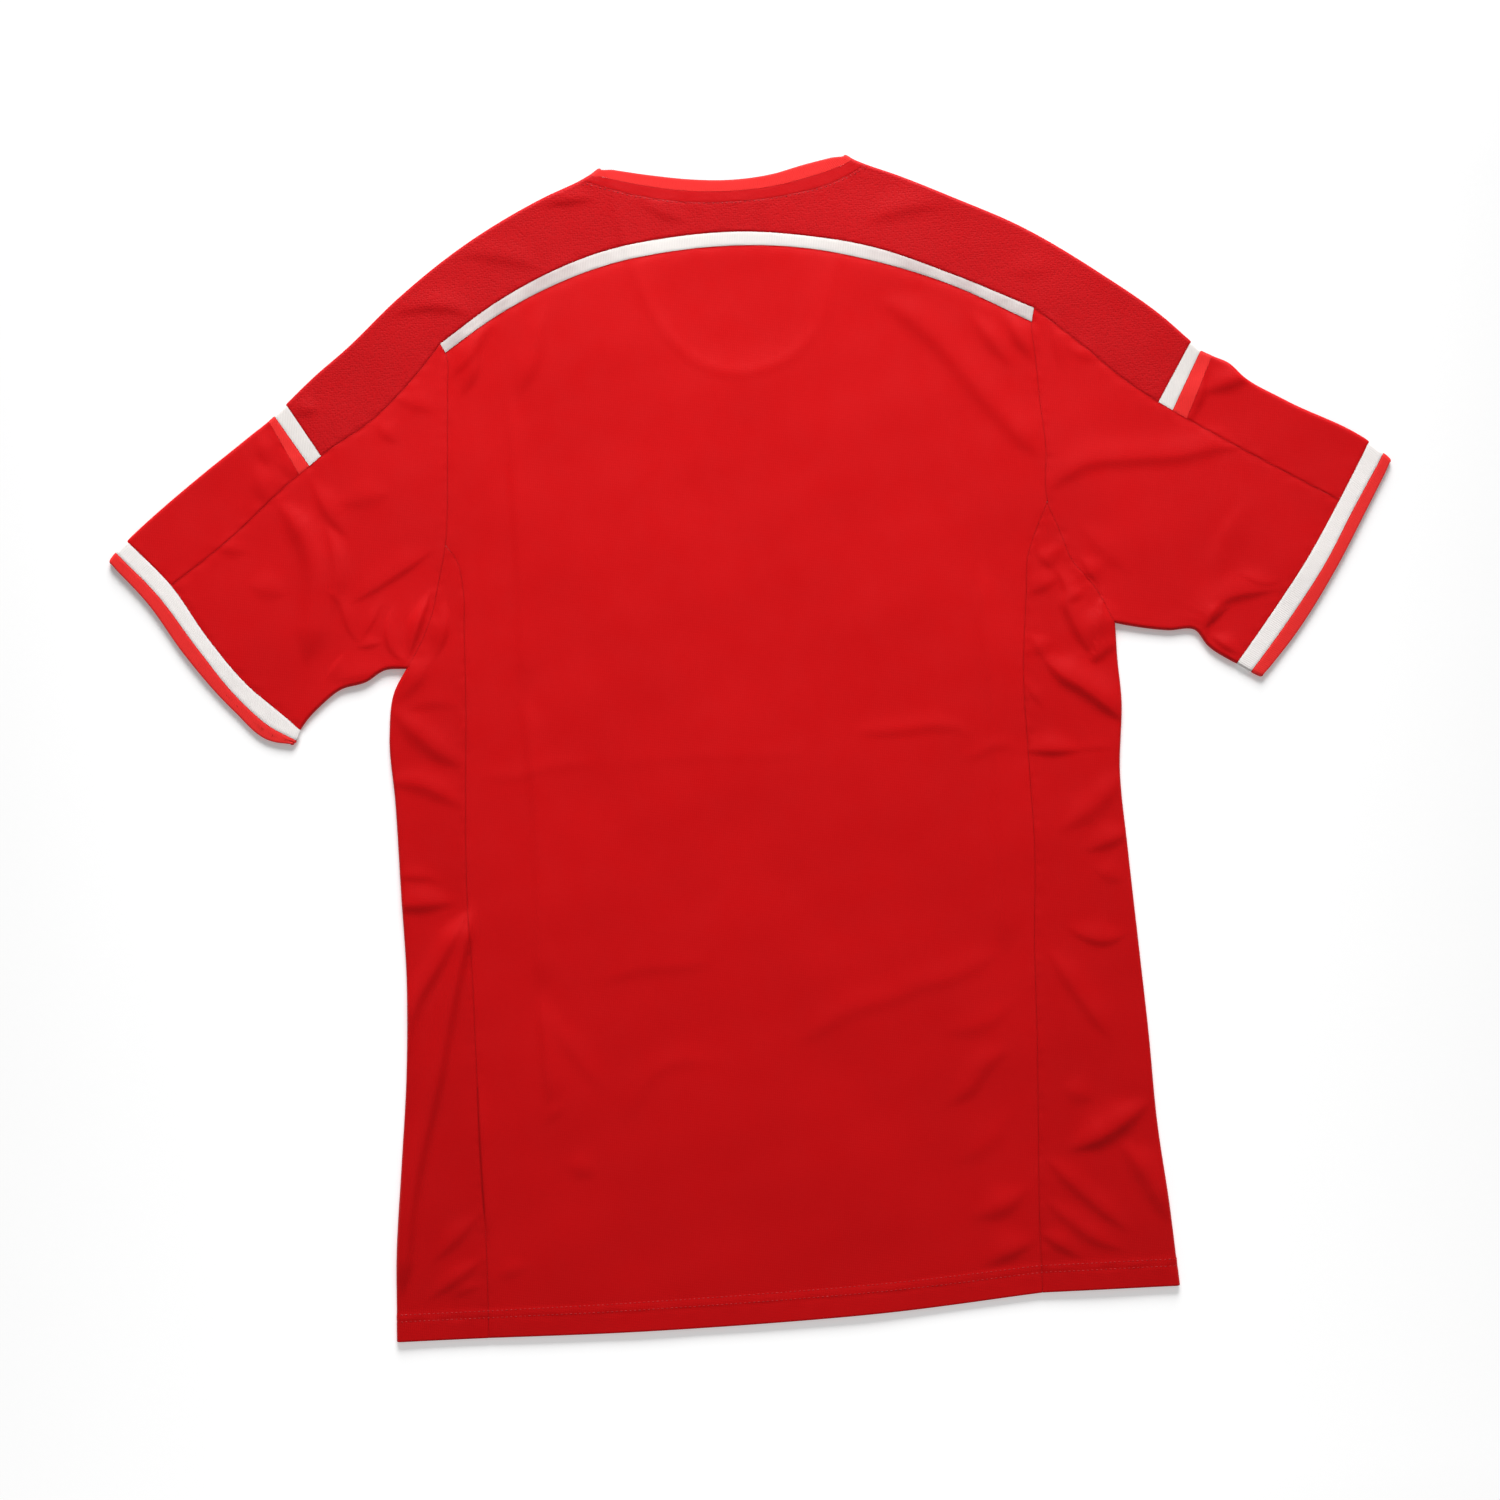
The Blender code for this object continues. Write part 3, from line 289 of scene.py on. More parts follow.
LEFT_CUFF = (
    Cuff("fold", -401, 543, -409, 536, -414, 530),
    Cuff("seam", -374, 512, -383, 506, -390, 501),
    Cuff("", -352, 475.8, -360, 470.8, -368.5, 466.5),
    Cuff("", -325.2, 440.4, -332.2, 432.4, -338, 427),
    Cuff("", -312, 428, -314.5, 415, -317, 406.5),
    Cuff("underarm", -295, 412, -298, 405, -301, 402),
)
RIGHT_CUFF = (
    Cuff("fold", 420, 557, 429, 549, 434, 544),
    Cuff("seam", 398, 520, 407, 514, 414, 510),
    Cuff("", 376, 485, 386, 479, 393, 475),
    Cuff("", 347, 446, 357, 440, 364, 434),
    Cuff("underarm", 324, 417, 333, 411, 340, 407),
)

# White tape between yoke and back panel, from left to right.
YOKE_STRIPE = (
    Tape("left", -187, 660, -184, 654),
    Tape("", -148, 685, -145, 678),
    Tape("", -115, 701, -112, 693),
    Tape("left_collar", -80, 713, -78, 704),
    Tape("", -30, 720.5, -29, 711.5),
    Tape("", 12, 721.5, 12, 712.5),
    Tape("", 58, 716, 57, 708),
    Tape("right_collar", 99, 706.5, 97, 698),
    Tape("", 154, 684, 151, 678),
    Tape("right", 205, 659, 203, 650),
)

# The collar's free edge and the seam that sews it on, at the back and at the front of the neck.
BACK_NECK = (
    Neck("left", -75, 769.2, -89, 762),
    Neck("", -40, 762, -53, 750),
    Neck("", -16, 758, -25, 744),
    Neck("", 12, 756, 12, 741.5),
    Neck("", 38, 758, 50, 744),
    Neck("", 60, 763, 78, 750),
    Neck("right", 87, 768, 102, 760.5),
)
FRONT_NECK = (
    Neck("left", -75, 769.2, -89, 762),
    Neck("left_collar", -65, 716, -80, 713),
    Neck("", -57, 687, -70, 683),
    Neck("", -42, 655, -53, 647),
    Neck("", -20, 633, -26, 621),
    Neck("", 9, 624, 9, 610),
    Neck("", 41, 631, 47, 619),
    Neck("", 67, 654, 79, 648),
    Neck("", 79, 686, 92, 682),
    Neck("right_collar", 85, 710, 99, 706.5),
    Neck("right", 87, 768, 102, 760.5),
)

# Line of the hem, from left to right.
HEM = (
    (-196, 4),
    (-110, 2),
    (-20, 2),
    (76, 4.5),
    (170, 11),
)

# Creases of the upper layer. Each falls off steeply to the right of its path, and its crest lies to the left.
CREASES = (
    # Left side.
    Crease("roll from the armhole", 1.34, 3.2, 8, ((-202, 451), (-196, 465), (-192, 494))),
    Crease("pocket behind the roll", 0.87, 5, 8, ((-227, 423), (-200, 455))),
    Crease("diagonal below the roll", 1.53, 6, 10, ((-240, 422), (-206, 388), (-187, 375))),
    Crease("level fold at the packing line", 1.16, 5, 9, ((-245, 371), (-220, 368), (-189, 349))),
    Crease("line below the diagonal", 0.42, 4, 7, ((-229, 417), (-204, 422), (-186, 416))),
    Crease("short level fold", 0.55, 2.8, 6, ((-243, 309), (-226, 309), (-216, 307), (-208, 302))),
    Crease("strong level fold", 1.6, 4.6, 10, ((-250, 289), (-196, 289))),
    Crease(
        "hollow beside the long ridge", 1.93, 4.6, 8,
        ((-244, 174), (-228, 226), (-210, 253), (-189, 285)),
    ),
    Crease("long ridge", 2.87, 4.4, 8, ((-249, 32), (-239, 97), (-216, 179), (-202, 234), (-184, 292))),
    Crease("fold in the seam", 0.98, 1.4, 4, ((-193, 177), (-194, 121), (-193, 62))),
    Crease("upper hem fold", 0.98, 4.2, 7, ((-232, 51), (-192, 87))),
    Crease("lower hem fold", 1.09, 4.2, 6, ((-236, 28), (-192, 56))),
    Crease("bump above the hem", 0.49, 3, 5, ((-222, 29), (-210, 35), (-196, 37))),
    # Back.
    Crease("small fold at the left of the hem", 0.55, 3.4, 6, ((-189, 40), (-178, 45), (-164, 48))),
    # Right side.
    Crease("blob beside the armhole", 0.79, 3.4, 12, ((195, 499), (206, 485))),
    Crease(
        "pucker beside the armhole", 1.58, 4, 9,
        ((204, 489), (213, 471), (212, 463), (215, 454), (230, 421)),
    ),
    Crease("pucker from the seam", 0.84, 3.6, 8, ((187, 469), (213, 479))),
    Crease("small fold in the puckers", 0.5, 2.4, 4, ((213, 462), (229, 471))),
    Crease("wall of the deep fold", 1.81, 13, 16, ((218, 447), (233, 441), (253, 442))),
    Crease("lower rim of the deep fold", 1.07, 3.4, 8, ((223, 431), (228, 424), (241, 431), (253, 433))),
    Crease("dent left of the deep fold", 0.74, 4, 7, ((187, 444), (196, 426))),
    Crease("long diagonal", 2.23, 4.8, 12, ((191, 431), (208, 413), (220, 405), (251, 377))),
    Crease("small line at the seam", 0.36, 2.2, 5, ((181, 414), (195, 394))),
    Crease("level fold at the packing line", 1.26, 3, 9, ((175, 367), (221, 364))),
    Crease("level line beside it", 0.22, 1.6, 6, ((211, 366), (244, 366))),
    Crease("fold to the edge", 1.13, 6.5, 9, ((199, 308), (228, 327), (254, 352))),
    Crease("short fold to the edge", 1.17, 4.2, 9, ((214, 296), (253, 310))),
    Crease("dimple below it", 0.58, 5, 8, ((218, 286), (241, 275))),
    Crease("crescent", 1.05, 3.6, 10, ((196, 251), (216, 240), (226, 238), (236, 240), (245, 246))),
    Crease("middle diagonal", 0.96, 4.6, 9, ((183, 238), (209, 196), (226, 169))),
    Crease("faint hollow", 0.7, 6, 9, ((187, 142), (213, 132))),
    Crease("strong fold", 2.51, 6, 11, ((191, 99), (214, 107), (253, 131))),
    Crease("first hem fold", 1.1, 4, 8, ((173, 101), (195, 77), (231, 43))),
    Crease("second hem fold", 0.98, 4.2, 7, ((170, 73), (213, 38), (229, 32))),
    Crease("third hem fold", 1.11, 3.4, 8, ((167, 51), (198, 29))),
    Crease("outer hem fold", 1.97, 6.5, 11, ((222, 107), (242, 78), (254, 47))),
    # Back.
    Crease("shoulder drag", 1.05, 6, 12, ((99, 669), (117, 658), (135, 641), (166, 600), (204, 554))),
    Crease("second drag", 1.02, 4.4, 8, ((158, 660), (189, 615))),
    Crease("third drag", 1.27, 4.2, 8, ((181, 658), (203, 619))),
    Crease("left shoulder drag", 1.4, 4, 8, ((-182, 635), (-174, 641), (-154, 666), (-146, 672))),
    Crease("lower left drag", 1.3, 4, 8, ((-175, 621), (-168, 632), (-157, 662))),
    Crease("faint drag at the left", 0.93, 5, 10, ((-138, 618), (-124, 642), (-115, 672), (-108, 686))),
    Crease(
        "long fold low at the right", 0.59, 5.6, 10,
        ((17, 179), (55, 201), (88, 209), (102, 215), (115, 217), (163, 236)),
    ),
    Crease("short fold low at the right", 0.51, 4.4, 9, ((110, 183), (143, 187), (170, 205))),
    Crease("diagonal low at the right", 1.06, 4.8, 10, ((111, 133), (134, 148), (141, 158), (164, 173))),
    Crease("faint diagonal low at the right", 0.48, 5.2, 10, ((113, 94), (149, 115), (154, 122), (165, 130))),
    Crease("fold above the hem", 1.38, 5.6, 10, ((124, 59), (149, 66), (170, 80))),
    Crease("fold at the hem", 1.42, 3.6, 12, ((130, 28), (172, 45))),
    Crease("diagonal low at the left", 0.51, 4, 9, ((-147, 213), (-128, 183), (-108, 154))),
    Crease("sharp fold low at the left", 0.46, 1.8, 5, ((-151, 140), (-134, 156))),
    Crease("dimple low at the left", 0.7, 5, 10, ((-142, 113), (-117, 104))),
    Crease("bend low at the left", 0.37, 4, 9, ((-104, 139), (-93, 144), (-81, 164), (-66, 174), (-32, 172))),
    Crease("arch low at the left", 0.36, 3.4, 9, ((-114, 228), (-82, 238), (-52, 238), (-26, 241))),
    Crease(
        "level packing line at the right", 0.52, 2.8, 7,
        ((63, 385), (100, 385), (126, 386), (136, 384), (147, 376)),
    ),
    Crease(
        "level packing line at the left", 0.22, 2.4, 6,
        ((-188, 369), (-173, 371), (-153, 370), (-139, 374), (-93, 375)),
    ),
    Crease("level packing line in the middle", 0.16, 2.8, 7, ((-100, 375), (-33, 375), (46, 373))),
    Crease(
        "end of the packing line", 0.39, 2.8, 6,
        ((131, 362), (148, 365), (163, 371), (174, 368), (181, 363)),
    ),
    Crease("packing line at the left, top", 0.7, 3, 8, ((-146, 627), (-146, 515), (-149, 422))),
    Crease(
        "packing line at the left, middle", 0.89, 3.2, 9,
        ((-149, 429), (-146, 369), (-146, 316), (-151, 224)),
    ),
    Crease("packing line at the left, bottom", 1.12, 3.2, 9, ((-151, 234), (-149, 191), (-148, 146))),
    Crease("packing line at the right", 0.79, 3.4, 10, ((156, 496), (159, 377), (156, 231))),
    # Yoke.
    Crease("left of the neck", 0.87, 3, 8, ((-117, 744), (-103, 747), (-76, 747))),
    Crease("above the tape", 0.59, 4.2, 9, ((-177, 713), (-161, 715), (-148, 713), (-128, 707), (-115, 699))),
    Crease("left shoulder", 0.91, 3.4, 10, ((-221, 678), (-196, 683), (-176, 680), (-162, 671))),
    Crease("under the neck", 0.56, 4, 8, ((-54, 744), (-17, 726))),
    Crease("right of the neck", 0.81, 5, 10, ((95, 718), (124, 727), (153, 727))),
    Crease("at the left sleeve tape", 0.74, 4, 7, ((-289, 622), (-268, 618))),
    Crease("faint fold at the right", 0.41, 5, 10, ((184, 681), (227, 681))),
    # Left sleeve.
    Crease("strong fold", 0.84, 3, 11, ((-260, 489), (-224, 509), (-196, 525))),
    Crease("upper bend", 1.09, 4.2, 9, ((-282, 578), (-262, 541), (-254, 533))),
    Crease(
        "hollow of the long fold", 1.92, 7, 10,
        ((-306, 563), (-289, 536), (-285, 522), (-287, 489), (-294, 453)),
    ),
    Crease("edge of the long fold", 1.15, 4.4, 6, ((-275, 549), (-269, 533), (-267, 516), (-273, 483))),
    Crease("curl below the fold", 0.63, 2.4, 6, ((-277, 502), (-268, 497), (-257, 470), (-251, 463))),
    Crease("thin fold below it", 0.47, 2, 5, ((-253, 463), (-232, 496))),
    Crease(
        "curl at the armpit", 0.85, 2.6, 7,
        ((-227, 495), (-233, 482), (-235, 471), (-233, 461), (-219, 446)),
    ),
    Crease("edge against the roll", 1.95, 2.8, 5, ((-220, 451), (-211, 477), (-200, 500))),
    Crease("short line at the underarm", 0.47, 2, 5, ((-257, 462), (-235, 465))),
    Crease("thin line to the underarm", 0.44, 1.8, 5, ((-262, 463), (-278, 443))),
    Crease("bright band at the underarm", 0.56, 4, 12, ((-279, 440), (-233, 446))),
    Crease("upper drag", 0.6, 4, 8, ((-236, 610), (-219, 593))),
    Crease("second drag", 0.51, 4.4, 9, ((-224, 626), (-190, 612))),
    Crease("faint level fold", 0.56, 6, 10, ((-263, 555), (-221, 561))),
    Crease("faint fold near the cuff", 0.47, 4, 8, ((-349, 534), (-318, 528))),
    Crease("hollow near the cuff", 0.56, 6, 10, ((-326, 506), (-297, 498))),
    # Left sleeve top.
    Crease("first dent", 0.59, 4.2, 7, ((-315, 611), (-307, 584))),
    Crease("second dent", 0.5, 3.6, 7, ((-298, 598), (-292, 574))),
    Crease("soft bend", 0.84, 6, 9, ((-319, 591), (-310, 558))),
    # Right sleeve.
    Crease(
        "long fold", 1.07, 5.4, 12,
        ((205, 532), (219, 544), (232, 551), (262, 553), (295, 553), (322, 557), (339, 555)),
    ),
    Crease("fold below the yoke", 0.63, 3.4, 7, ((212, 656), (217, 631), (217, 614))),
    Crease("faint fold below the seam", 0.42, 4, 8, ((221, 631), (246, 618))),
    Crease("tuck at the cuff", 1.3, 4, 12, ((305, 427), (310, 449), (316, 455), (357, 462))),
    Crease("line above the tuck", 0.36, 2.6, 6, ((325, 476), (348, 467), (360, 468))),
    Crease("roll under the tuck", 0.91, 2.8, 6, ((305, 436), (327, 420))),
    # Right sleeve top.
    Crease("fall beside the line", 1.42, 3.4, 8, ((302, 573), (308, 584), (320, 618))),
    Crease("hollow beside the line", 1.5, 4.6, 9, ((310, 591), (318, 595), (355, 605))),
    # Right sleeve.
    Crease("soft diagonal", 0.56, 6, 10, ((220, 515), (257, 475))),
    Crease("soft bend at the cuff", 0.7, 6, 10, ((335, 528), (316, 499), (310, 486), (306, 465))),
    Crease("dot at the armhole", 0.79, 3.4, 8, ((223, 494), (235, 472))),
    Crease("dark of the tuck", 0.98, 2.8, 6, ((303, 439), (315, 450), (323, 453))),
)

# Slow waves in how the cloth lies: length and rise in millimetres, direction and phase in degrees.
SWELLS = (
    Wave(163, 0.24, 12, 17),
    Wave(118, 0.16, 71, 109),
    Wave(87, 0.12, 128, 252),
    Wave(59, 0.07, 38, 155),
    Wave(43, 0.05, 102, 46),
)
# Short ripples that the thread draws into the cloth beside a seam.
PUCKERS = (
    Wave(13.0, 0.10, 25, 40),
    Wave(9.5, 0.08, 78, 200),
    Wave(16.5, 0.12, 140, 310),
    Wave(7.0, 0.05, 105, 90),
)
PUCKER_REACH = 5.0  # from the seam, in millimetres

Cloth = namedtuple("Cloth", "points normals plan flat under closed kept")

SIDES = ("left", "right")
SIGN = {"left": -1, "right": 1}
FOLD_ROW = {"seam": "cuff", "edge": "edge", "end": "end"}  # row of the folds at each line of the cuff


def unit(vectors):
    """Vectors scaled to a length of 1."""
    return vectors / np.maximum(np.linalg.norm(vectors, axis=-1, keepdims=True), TINY)


def smooth_line(knots, steps=CURVE_STEPS):
    """Points of a cubic curve through the knots, with a number of steps between two of them."""
    spans = np.maximum(np.linalg.norm(np.diff(knots, axis=0), axis=1), TINY)
    slopes = np.diff(knots, axis=0) / spans[:, None]
    tangents = np.empty_like(knots)
    tangents[0], tangents[-1] = slopes[0], slopes[-1]
    for row in range(1, len(knots) - 1):
        before, after = spans[row - 1], spans[row]
        tangents[row] = (slopes[row - 1] * after + slopes[row] * before) / (before + after)
    line = []
    for row, span in enumerate(spans):
        for step in range(steps):
            t = step / steps
            line.append(
                (2 * t**3 - 3 * t**2 + 1) * knots[row]
                + (t**3 - 2 * t**2 + t) * span * tangents[row]
                + (3 * t**2 - 2 * t**3) * knots[row + 1]
                + (t**3 - t**2) * span * tangents[row + 1]
            )
    line.append(knots[-1])
    return np.array(line)


def line_lengths(line):
    """Length along a line at each of its points."""
    return np.concatenate([[0.0], np.cumsum(np.linalg.norm(np.diff(line, axis=0), axis=1))])


def at_shares(line, shares):
    """Points at shares of the length of a line of points."""
    length = line_lengths(line)
    places = shares * length[-1]
    return np.column_stack([np.interp(places, length, line[:, axis]) for axis in range(line.shape[1])])


def join(*pieces):
    """Runs of points that follow each other, without their doubled ends."""
    return np.concatenate([pieces[0]] + [piece[1:] for piece in pieces[1:]])


class Curve:
    """A smooth plan curve through the rows of a table, with names on some of them."""

    def __init__(self, names, points, turn=1):
        self.names = list(names)
        self.turn = turn
        self.line = smooth_line(np.array(points, float))
        self.length = line_lengths(self.line)

    def at(self, name):
        """Length along the curve at a named row."""
        return self.length[self.names.index(name) * CURVE_STEPS]

    def read(self, lengths):
        """Plan points at lengths along the curve."""
        return np.column_stack([np.interp(lengths, self.length, self.line[:, axis]) for axis in (0, 1)])

    def run(self, start, end):
        """Plan points from one named row to another, about RUN_STEP apart."""
        first, last = self.at(start), self.at(end)
        count = max(math.ceil(abs(last - first) / RUN_STEP), 2)
        return self.read(np.linspace(first, last, count + 1))

    def outward(self, lengths):
        """Unit plan directions that point away from the garment at lengths along the curve."""
        ahead = self.read(np.minimum(lengths + TANGENT_REACH, self.length[-1]))
        along = ahead - self.read(np.maximum(lengths - TANGENT_REACH, 0))
        return unit(np.column_stack([-along[:, 1], along[:, 0]])) * self.turn


def table_curve(table, column, turn=1):
    """One curve of a table that holds several, such as that of the left side or the edge of a cuff."""
    points = [(getattr(row, column + "_x"), getattr(row, column + "_y")) for row in table]
    return Curve([row.name for row in table], points, turn)


TOP = {side: table_curve(TOP_FOLD, side, SIGN[side]) for side in SIDES}
UNDERARM = {side: table_curve(UNDERARM_FOLD, side, -SIGN[side]) for side in SIDES}
BODY_FOLD = {side: table_curve(SIDE_FOLD, side, -SIGN[side]) for side in SIDES}
BODY_SEAM = {side: table_curve(SIDE_SEAM, side) for side in SIDES}
ARMHOLES = {side: table_curve(ARMHOLE, side) for side in SIDES}
SLEEVE_SEAM = {side: table_curve(UPPER_SEAM, side) for side in SIDES}
CUFF_TABLE = {"left": LEFT_CUFF, "right": RIGHT_CUFF}
CUFF_CURVE = {
    side: {column: table_curve(CUFF_TABLE[side], column) for column in FOLD_ROW} for side in SIDES
}
NECK_CURVE = {
    table: {column: table_curve(rows, column) for column in ("edge", "seam")}
    for table, rows in (("back", BACK_NECK), ("front", FRONT_NECK))
}
TAPE = {column: table_curve(YOKE_STRIPE, column) for column in ("upper", "lower")}
HEM_CURVE = Curve(["left"] + [""] * (len(HEM) - 2) + ["right"], HEM)


def step_up(values):
    """A smooth step from 0 to 1."""
    share = np.clip(values, 0.0, 1.0)
    return share * share * (3 - 2 * share)


def distance_to_line(points, line):
    """Shortest plan distance from each point to a line of points."""
    nearest = np.full(len(points), np.inf)
    for start, end in zip(line[:-1], line[1:]):
        along = end - start
        share = np.clip((points - start) @ along / max(along @ along, TINY), 0, 1)
        gap = np.linalg.norm(points - start - share[:, None] * along, axis=1)
        nearest = np.minimum(nearest, gap)
    return nearest


def distance_within(points, lines, reach):
    """Shortest plan distance from each point to any of the lines, and the reach where that is more."""
    nearest = np.full(len(points), float(reach))
    for line in lines:
        for start in range(0, len(line) - 1, OUTLINE_STRIDE):
            stretch = line[start : start + OUTLINE_STRIDE + 1]
            low, high = stretch.min(axis=0) - reach, stretch.max(axis=0) + reach
            near = np.flatnonzero(((points > low) & (points < high)).all(axis=1))
            if len(near):
                nearest[near] = np.minimum(nearest[near], distance_to_line(points[near], stretch))
    return nearest


def inside_outline(points, outline):
    """True for each point inside a closed plan outline."""
    inside = np.zeros(len(points), bool)
    for start, end in zip(outline, np.roll(outline, -1, axis=0)):
        crosses = (start[1] > points[:, 1]) != (end[1] > points[:, 1])
        rise = end[1] - start[1]
        if abs(rise) > TINY:
            at_x = start[0] + (points[:, 1] - start[1]) / rise * (end[0] - start[0])
            inside ^= crosses & (points[:, 0] < at_x)
    return inside


@cache
def crease_line(crease):
    """Points along a crease and the length at each."""
    line = smooth_line(np.array(crease.path, float), CREASE_STEPS)
    return line, line_lengths(line)


def crease_height(points, crease):
    """Height that a crease adds at each plan point: a gentle slope to its crest and a steep one down."""
    line, lengths = crease_line(crease)
    height = np.zeros(len(points))
    reach = CREASE_REACH * crease.gentle
    chosen = ((points > line.min(axis=0) - reach) & (points < line.max(axis=0) + reach)).all(axis=1)
    near = points[chosen]
    nearest, across, place = np.full(len(near), np.inf), np.zeros(len(near)), np.zeros(len(near))
    for start, end, before in zip(line[:-1], line[1:], lengths[:-1]):
        along = end - start
        size = np.linalg.norm(along)
        share = np.clip((near - start) @ along / size**2, 0, 1)
        gap = np.linalg.norm(near - start - share[:, None] * along, axis=1)
        left = np.sign((near - start) @ np.array([-along[1], along[0]]))
        closer = gap < nearest
        nearest = np.where(closer, gap, nearest)
        across = np.where(closer, left * gap, across)
        place = np.where(closer, before + share * size, place)
    taper = min(CREASE_TAPER, CREASE_ENDS * lengths[-1])
    ends = step_up(place / taper) * step_up((lengths[-1] - place) / taper)
    across = across - CREST_SHIFT * crease.steep
    width = np.where(across > 0, crease.gentle, crease.steep) * (CREASE_POINT + (1 - CREASE_POINT) * ends)
    height[chosen] = crease.rise * ends * np.exp(-((across / width) ** 2))
    return height


def wave_height(points, waves):
    """Height of a sum of waves at each plan point."""
    height = np.zeros(len(points))
    for wave in waves:
        turn = math.radians(wave.degrees)
        along = points @ np.array([math.cos(turn), math.sin(turn)])
        height += wave.rise * np.sin(2 * math.pi * along / wave.length + math.radians(wave.phase))
    return height


def garment_folds():
    """The curves along which the garment is folded, as lines of points."""
    curves = [curves[side] for curves in (TOP, UNDERARM, BODY_FOLD) for side in SIDES]
    return [curve.line[::OUTLINE_STRIDE] for curve in curves]


def cloth_height(points):
    """Height of the middle of the solids' wall in the upper layer, with the creases in it."""
    edge = distance_within(points, garment_folds(), FOLD_FADE * FOLD_REACH)
    height = LAYER_HEIGHT + FOLD_RISE * np.exp(-((edge / FOLD_REACH) ** 2))
    neckline = NECK_CURVE["front"]["edge"].line[::OUTLINE_STRIDE]
    sunk = np.where(inside_outline(points, neckline), distance_to_line(points, neckline), 0.0)
    height -= NECK_SINK * step_up(sunk / NECK_REACH)
    height += NECK_PRINT.rise * step_up(sunk) * np.exp(-(((sunk - NECK_PRINT.place) / NECK_PRINT.width) ** 2))
    for crease in CREASES:
        height += crease_height(points, crease)
    return np.maximum(height + wave_height(points, SWELLS), LOWEST_UPPER)


def under_height(points):
    """How far the lower layer lifts off the floor under the creases, at each plan point."""
    relief = sum(crease_height(points, crease) for crease in CREASES)
    edge = distance_within(points, garment_folds(), FOLD_REACH)
    return np.clip(relief * UNDER_SHARE, 0, UNDER_RELIEF) * step_up(edge / FOLD_REACH)


Bend = namedtuple("Bend", "outward radius inner reach")


def bend_along(curve, start, end, shares, corner=None):
    """A fold of the garment between two named rows; a corner is a row's name and its own direction."""
    lengths = curve.at(start) + shares * (curve.at(end) - curve.at(start))
    points = curve.read(lengths)
    outward = curve.outward(lengths)
    if corner is not None:
        row, direction = corner
        own = step_up(np.abs(lengths - curve.at(row)) / CORNER_REACH)[:, None]
        outward = unit(direction + (outward - direction) * own)
    radius = (cloth_height(points) - LOWER_MIDDLE) / 2
    radius = (cloth_height(points - outward * radius[:, None]) - LOWER_MIDDLE) / 2
    return Bend(outward, radius, points - outward * radius[:, None], radius)


def rounded(bend, distance):
    """A fold that is pulled in towards a free edge; distance is how far from the edge each point is."""
    share = np.clip(distance / CORNER_ROUND, 0, 1)
    return bend._replace(reach=bend.radius * np.sqrt(1 - (1 - share) ** 2))


def armpit(side):
    """The armpit's row and the direction that points away from both folds that meet there."""
    body, sleeve = BODY_FOLD[side], UNDERARM[side]
    both = body.outward(np.array([body.at("armpit")])) + sleeve.outward(np.array([sleeve.at("armpit")]))
    return "armpit", unit(both)[0]


def inner_point(curve, row, corner=None):
    """Where the upper layer runs into a fold of the garment at a named row."""
    return bend_along(curve, row, row, np.zeros(1), corner).inner[0]


def end_at(line, point):
    """A line whose last stretch is eased over so that it ends at a point."""
    length = line_lengths(line)
    share = step_up(1 - (length[-1] - length) / END_REACH)
    return line + share[:, None] * (point - line[-1])


def armhole_line(side, start):
    """Armhole seam from a named row to the armpit."""
    return end_at(ARMHOLES[side].run(start, "armpit"), inner_point(BODY_FOLD[side], "armpit", armpit(side)))


def crossing(side, row):
    """Straight line over the top of the sleeve at a named row, from the upper seam to the fold."""
    seam = SLEEVE_SEAM[side].read(np.array([SLEEVE_SEAM[side].at(row)]))[0]
    fold = inner_point(TOP[side], row)
    return np.linspace(seam, fold, CURVE_STEPS)


def cuff_part(side, column, end):
    """A line round the upper layer of the cuff from the sleeve's seam to one of its folds."""
    line = CUFF_CURVE[side][column].run("seam", end)
    fold = TOP[side] if end == "fold" else UNDERARM[side]
    return end_at(line, inner_point(fold, FOLD_ROW[column]))


def cuff_line(side, column):
    """A line round the upper layer of the cuff, from the top fold to the underarm fold."""
    return join(cuff_part(side, column, "fold")[::-1], cuff_part(side, column, "underarm"))


def end_at_both(line, first, last):
    """A line whose two ends are eased over to two points."""
    return end_at(end_at(line, last)[::-1], first)[::-1]


def neck_ends(share):
    """Inner points of the shoulder folds at a share of the collar's width, left and right."""
    return [inner_point(TOP[side], COLLAR_ROWS[share]) for side in SIDES]


def back_neck_line(share):
    """A line round the back of the collar: share 0 is its free edge and share 1 its seam."""
    shares = np.linspace(0, 1, NECK_STEPS)
    edge, seam = (at_shares(NECK_CURVE["back"][column].line, shares) for column in ("edge", "seam"))
    return end_at_both(edge + share * (seam - edge), *neck_ends(share))


def front_neck_line(share):
    """A line round the front of the collar, as in back_neck_line, from left to right."""
    lines = []
    for column in ("edge", "seam"):
        curve = NECK_CURVE["front"][column]
        stretches = [(curve.at(start), curve.at(end), steps) for start, end, steps in FRONT_NECK_STEPS]
        lines.append(join(*(curve.read(np.linspace(*stretch)) for stretch in stretches)))
    return end_at_both(lines[0] + share * (lines[1] - lines[0]), *neck_ends(share))


def front_collar_side(side):
    """The collar's front seam from the yoke's lower seam up to the shoulder fold."""
    line = NECK_CURVE["front"]["seam"].run(side + "_collar", side)
    return end_at(line, neck_ends(1.0)[SIDES.index(side)])


def hem_side(side):
    """Hem of the side panel, from the seam to the side fold."""
    seam = BODY_SEAM[side].read(np.zeros(1))[0]
    return np.linspace(seam, inner_point(BODY_FOLD[side], "hem"), CURVE_STEPS)


def to_the_fold(line, curve, row):
    """A line carried on to the fold that it crosses."""
    return np.concatenate([line, curve.read(np.array([curve.at(row)]))])


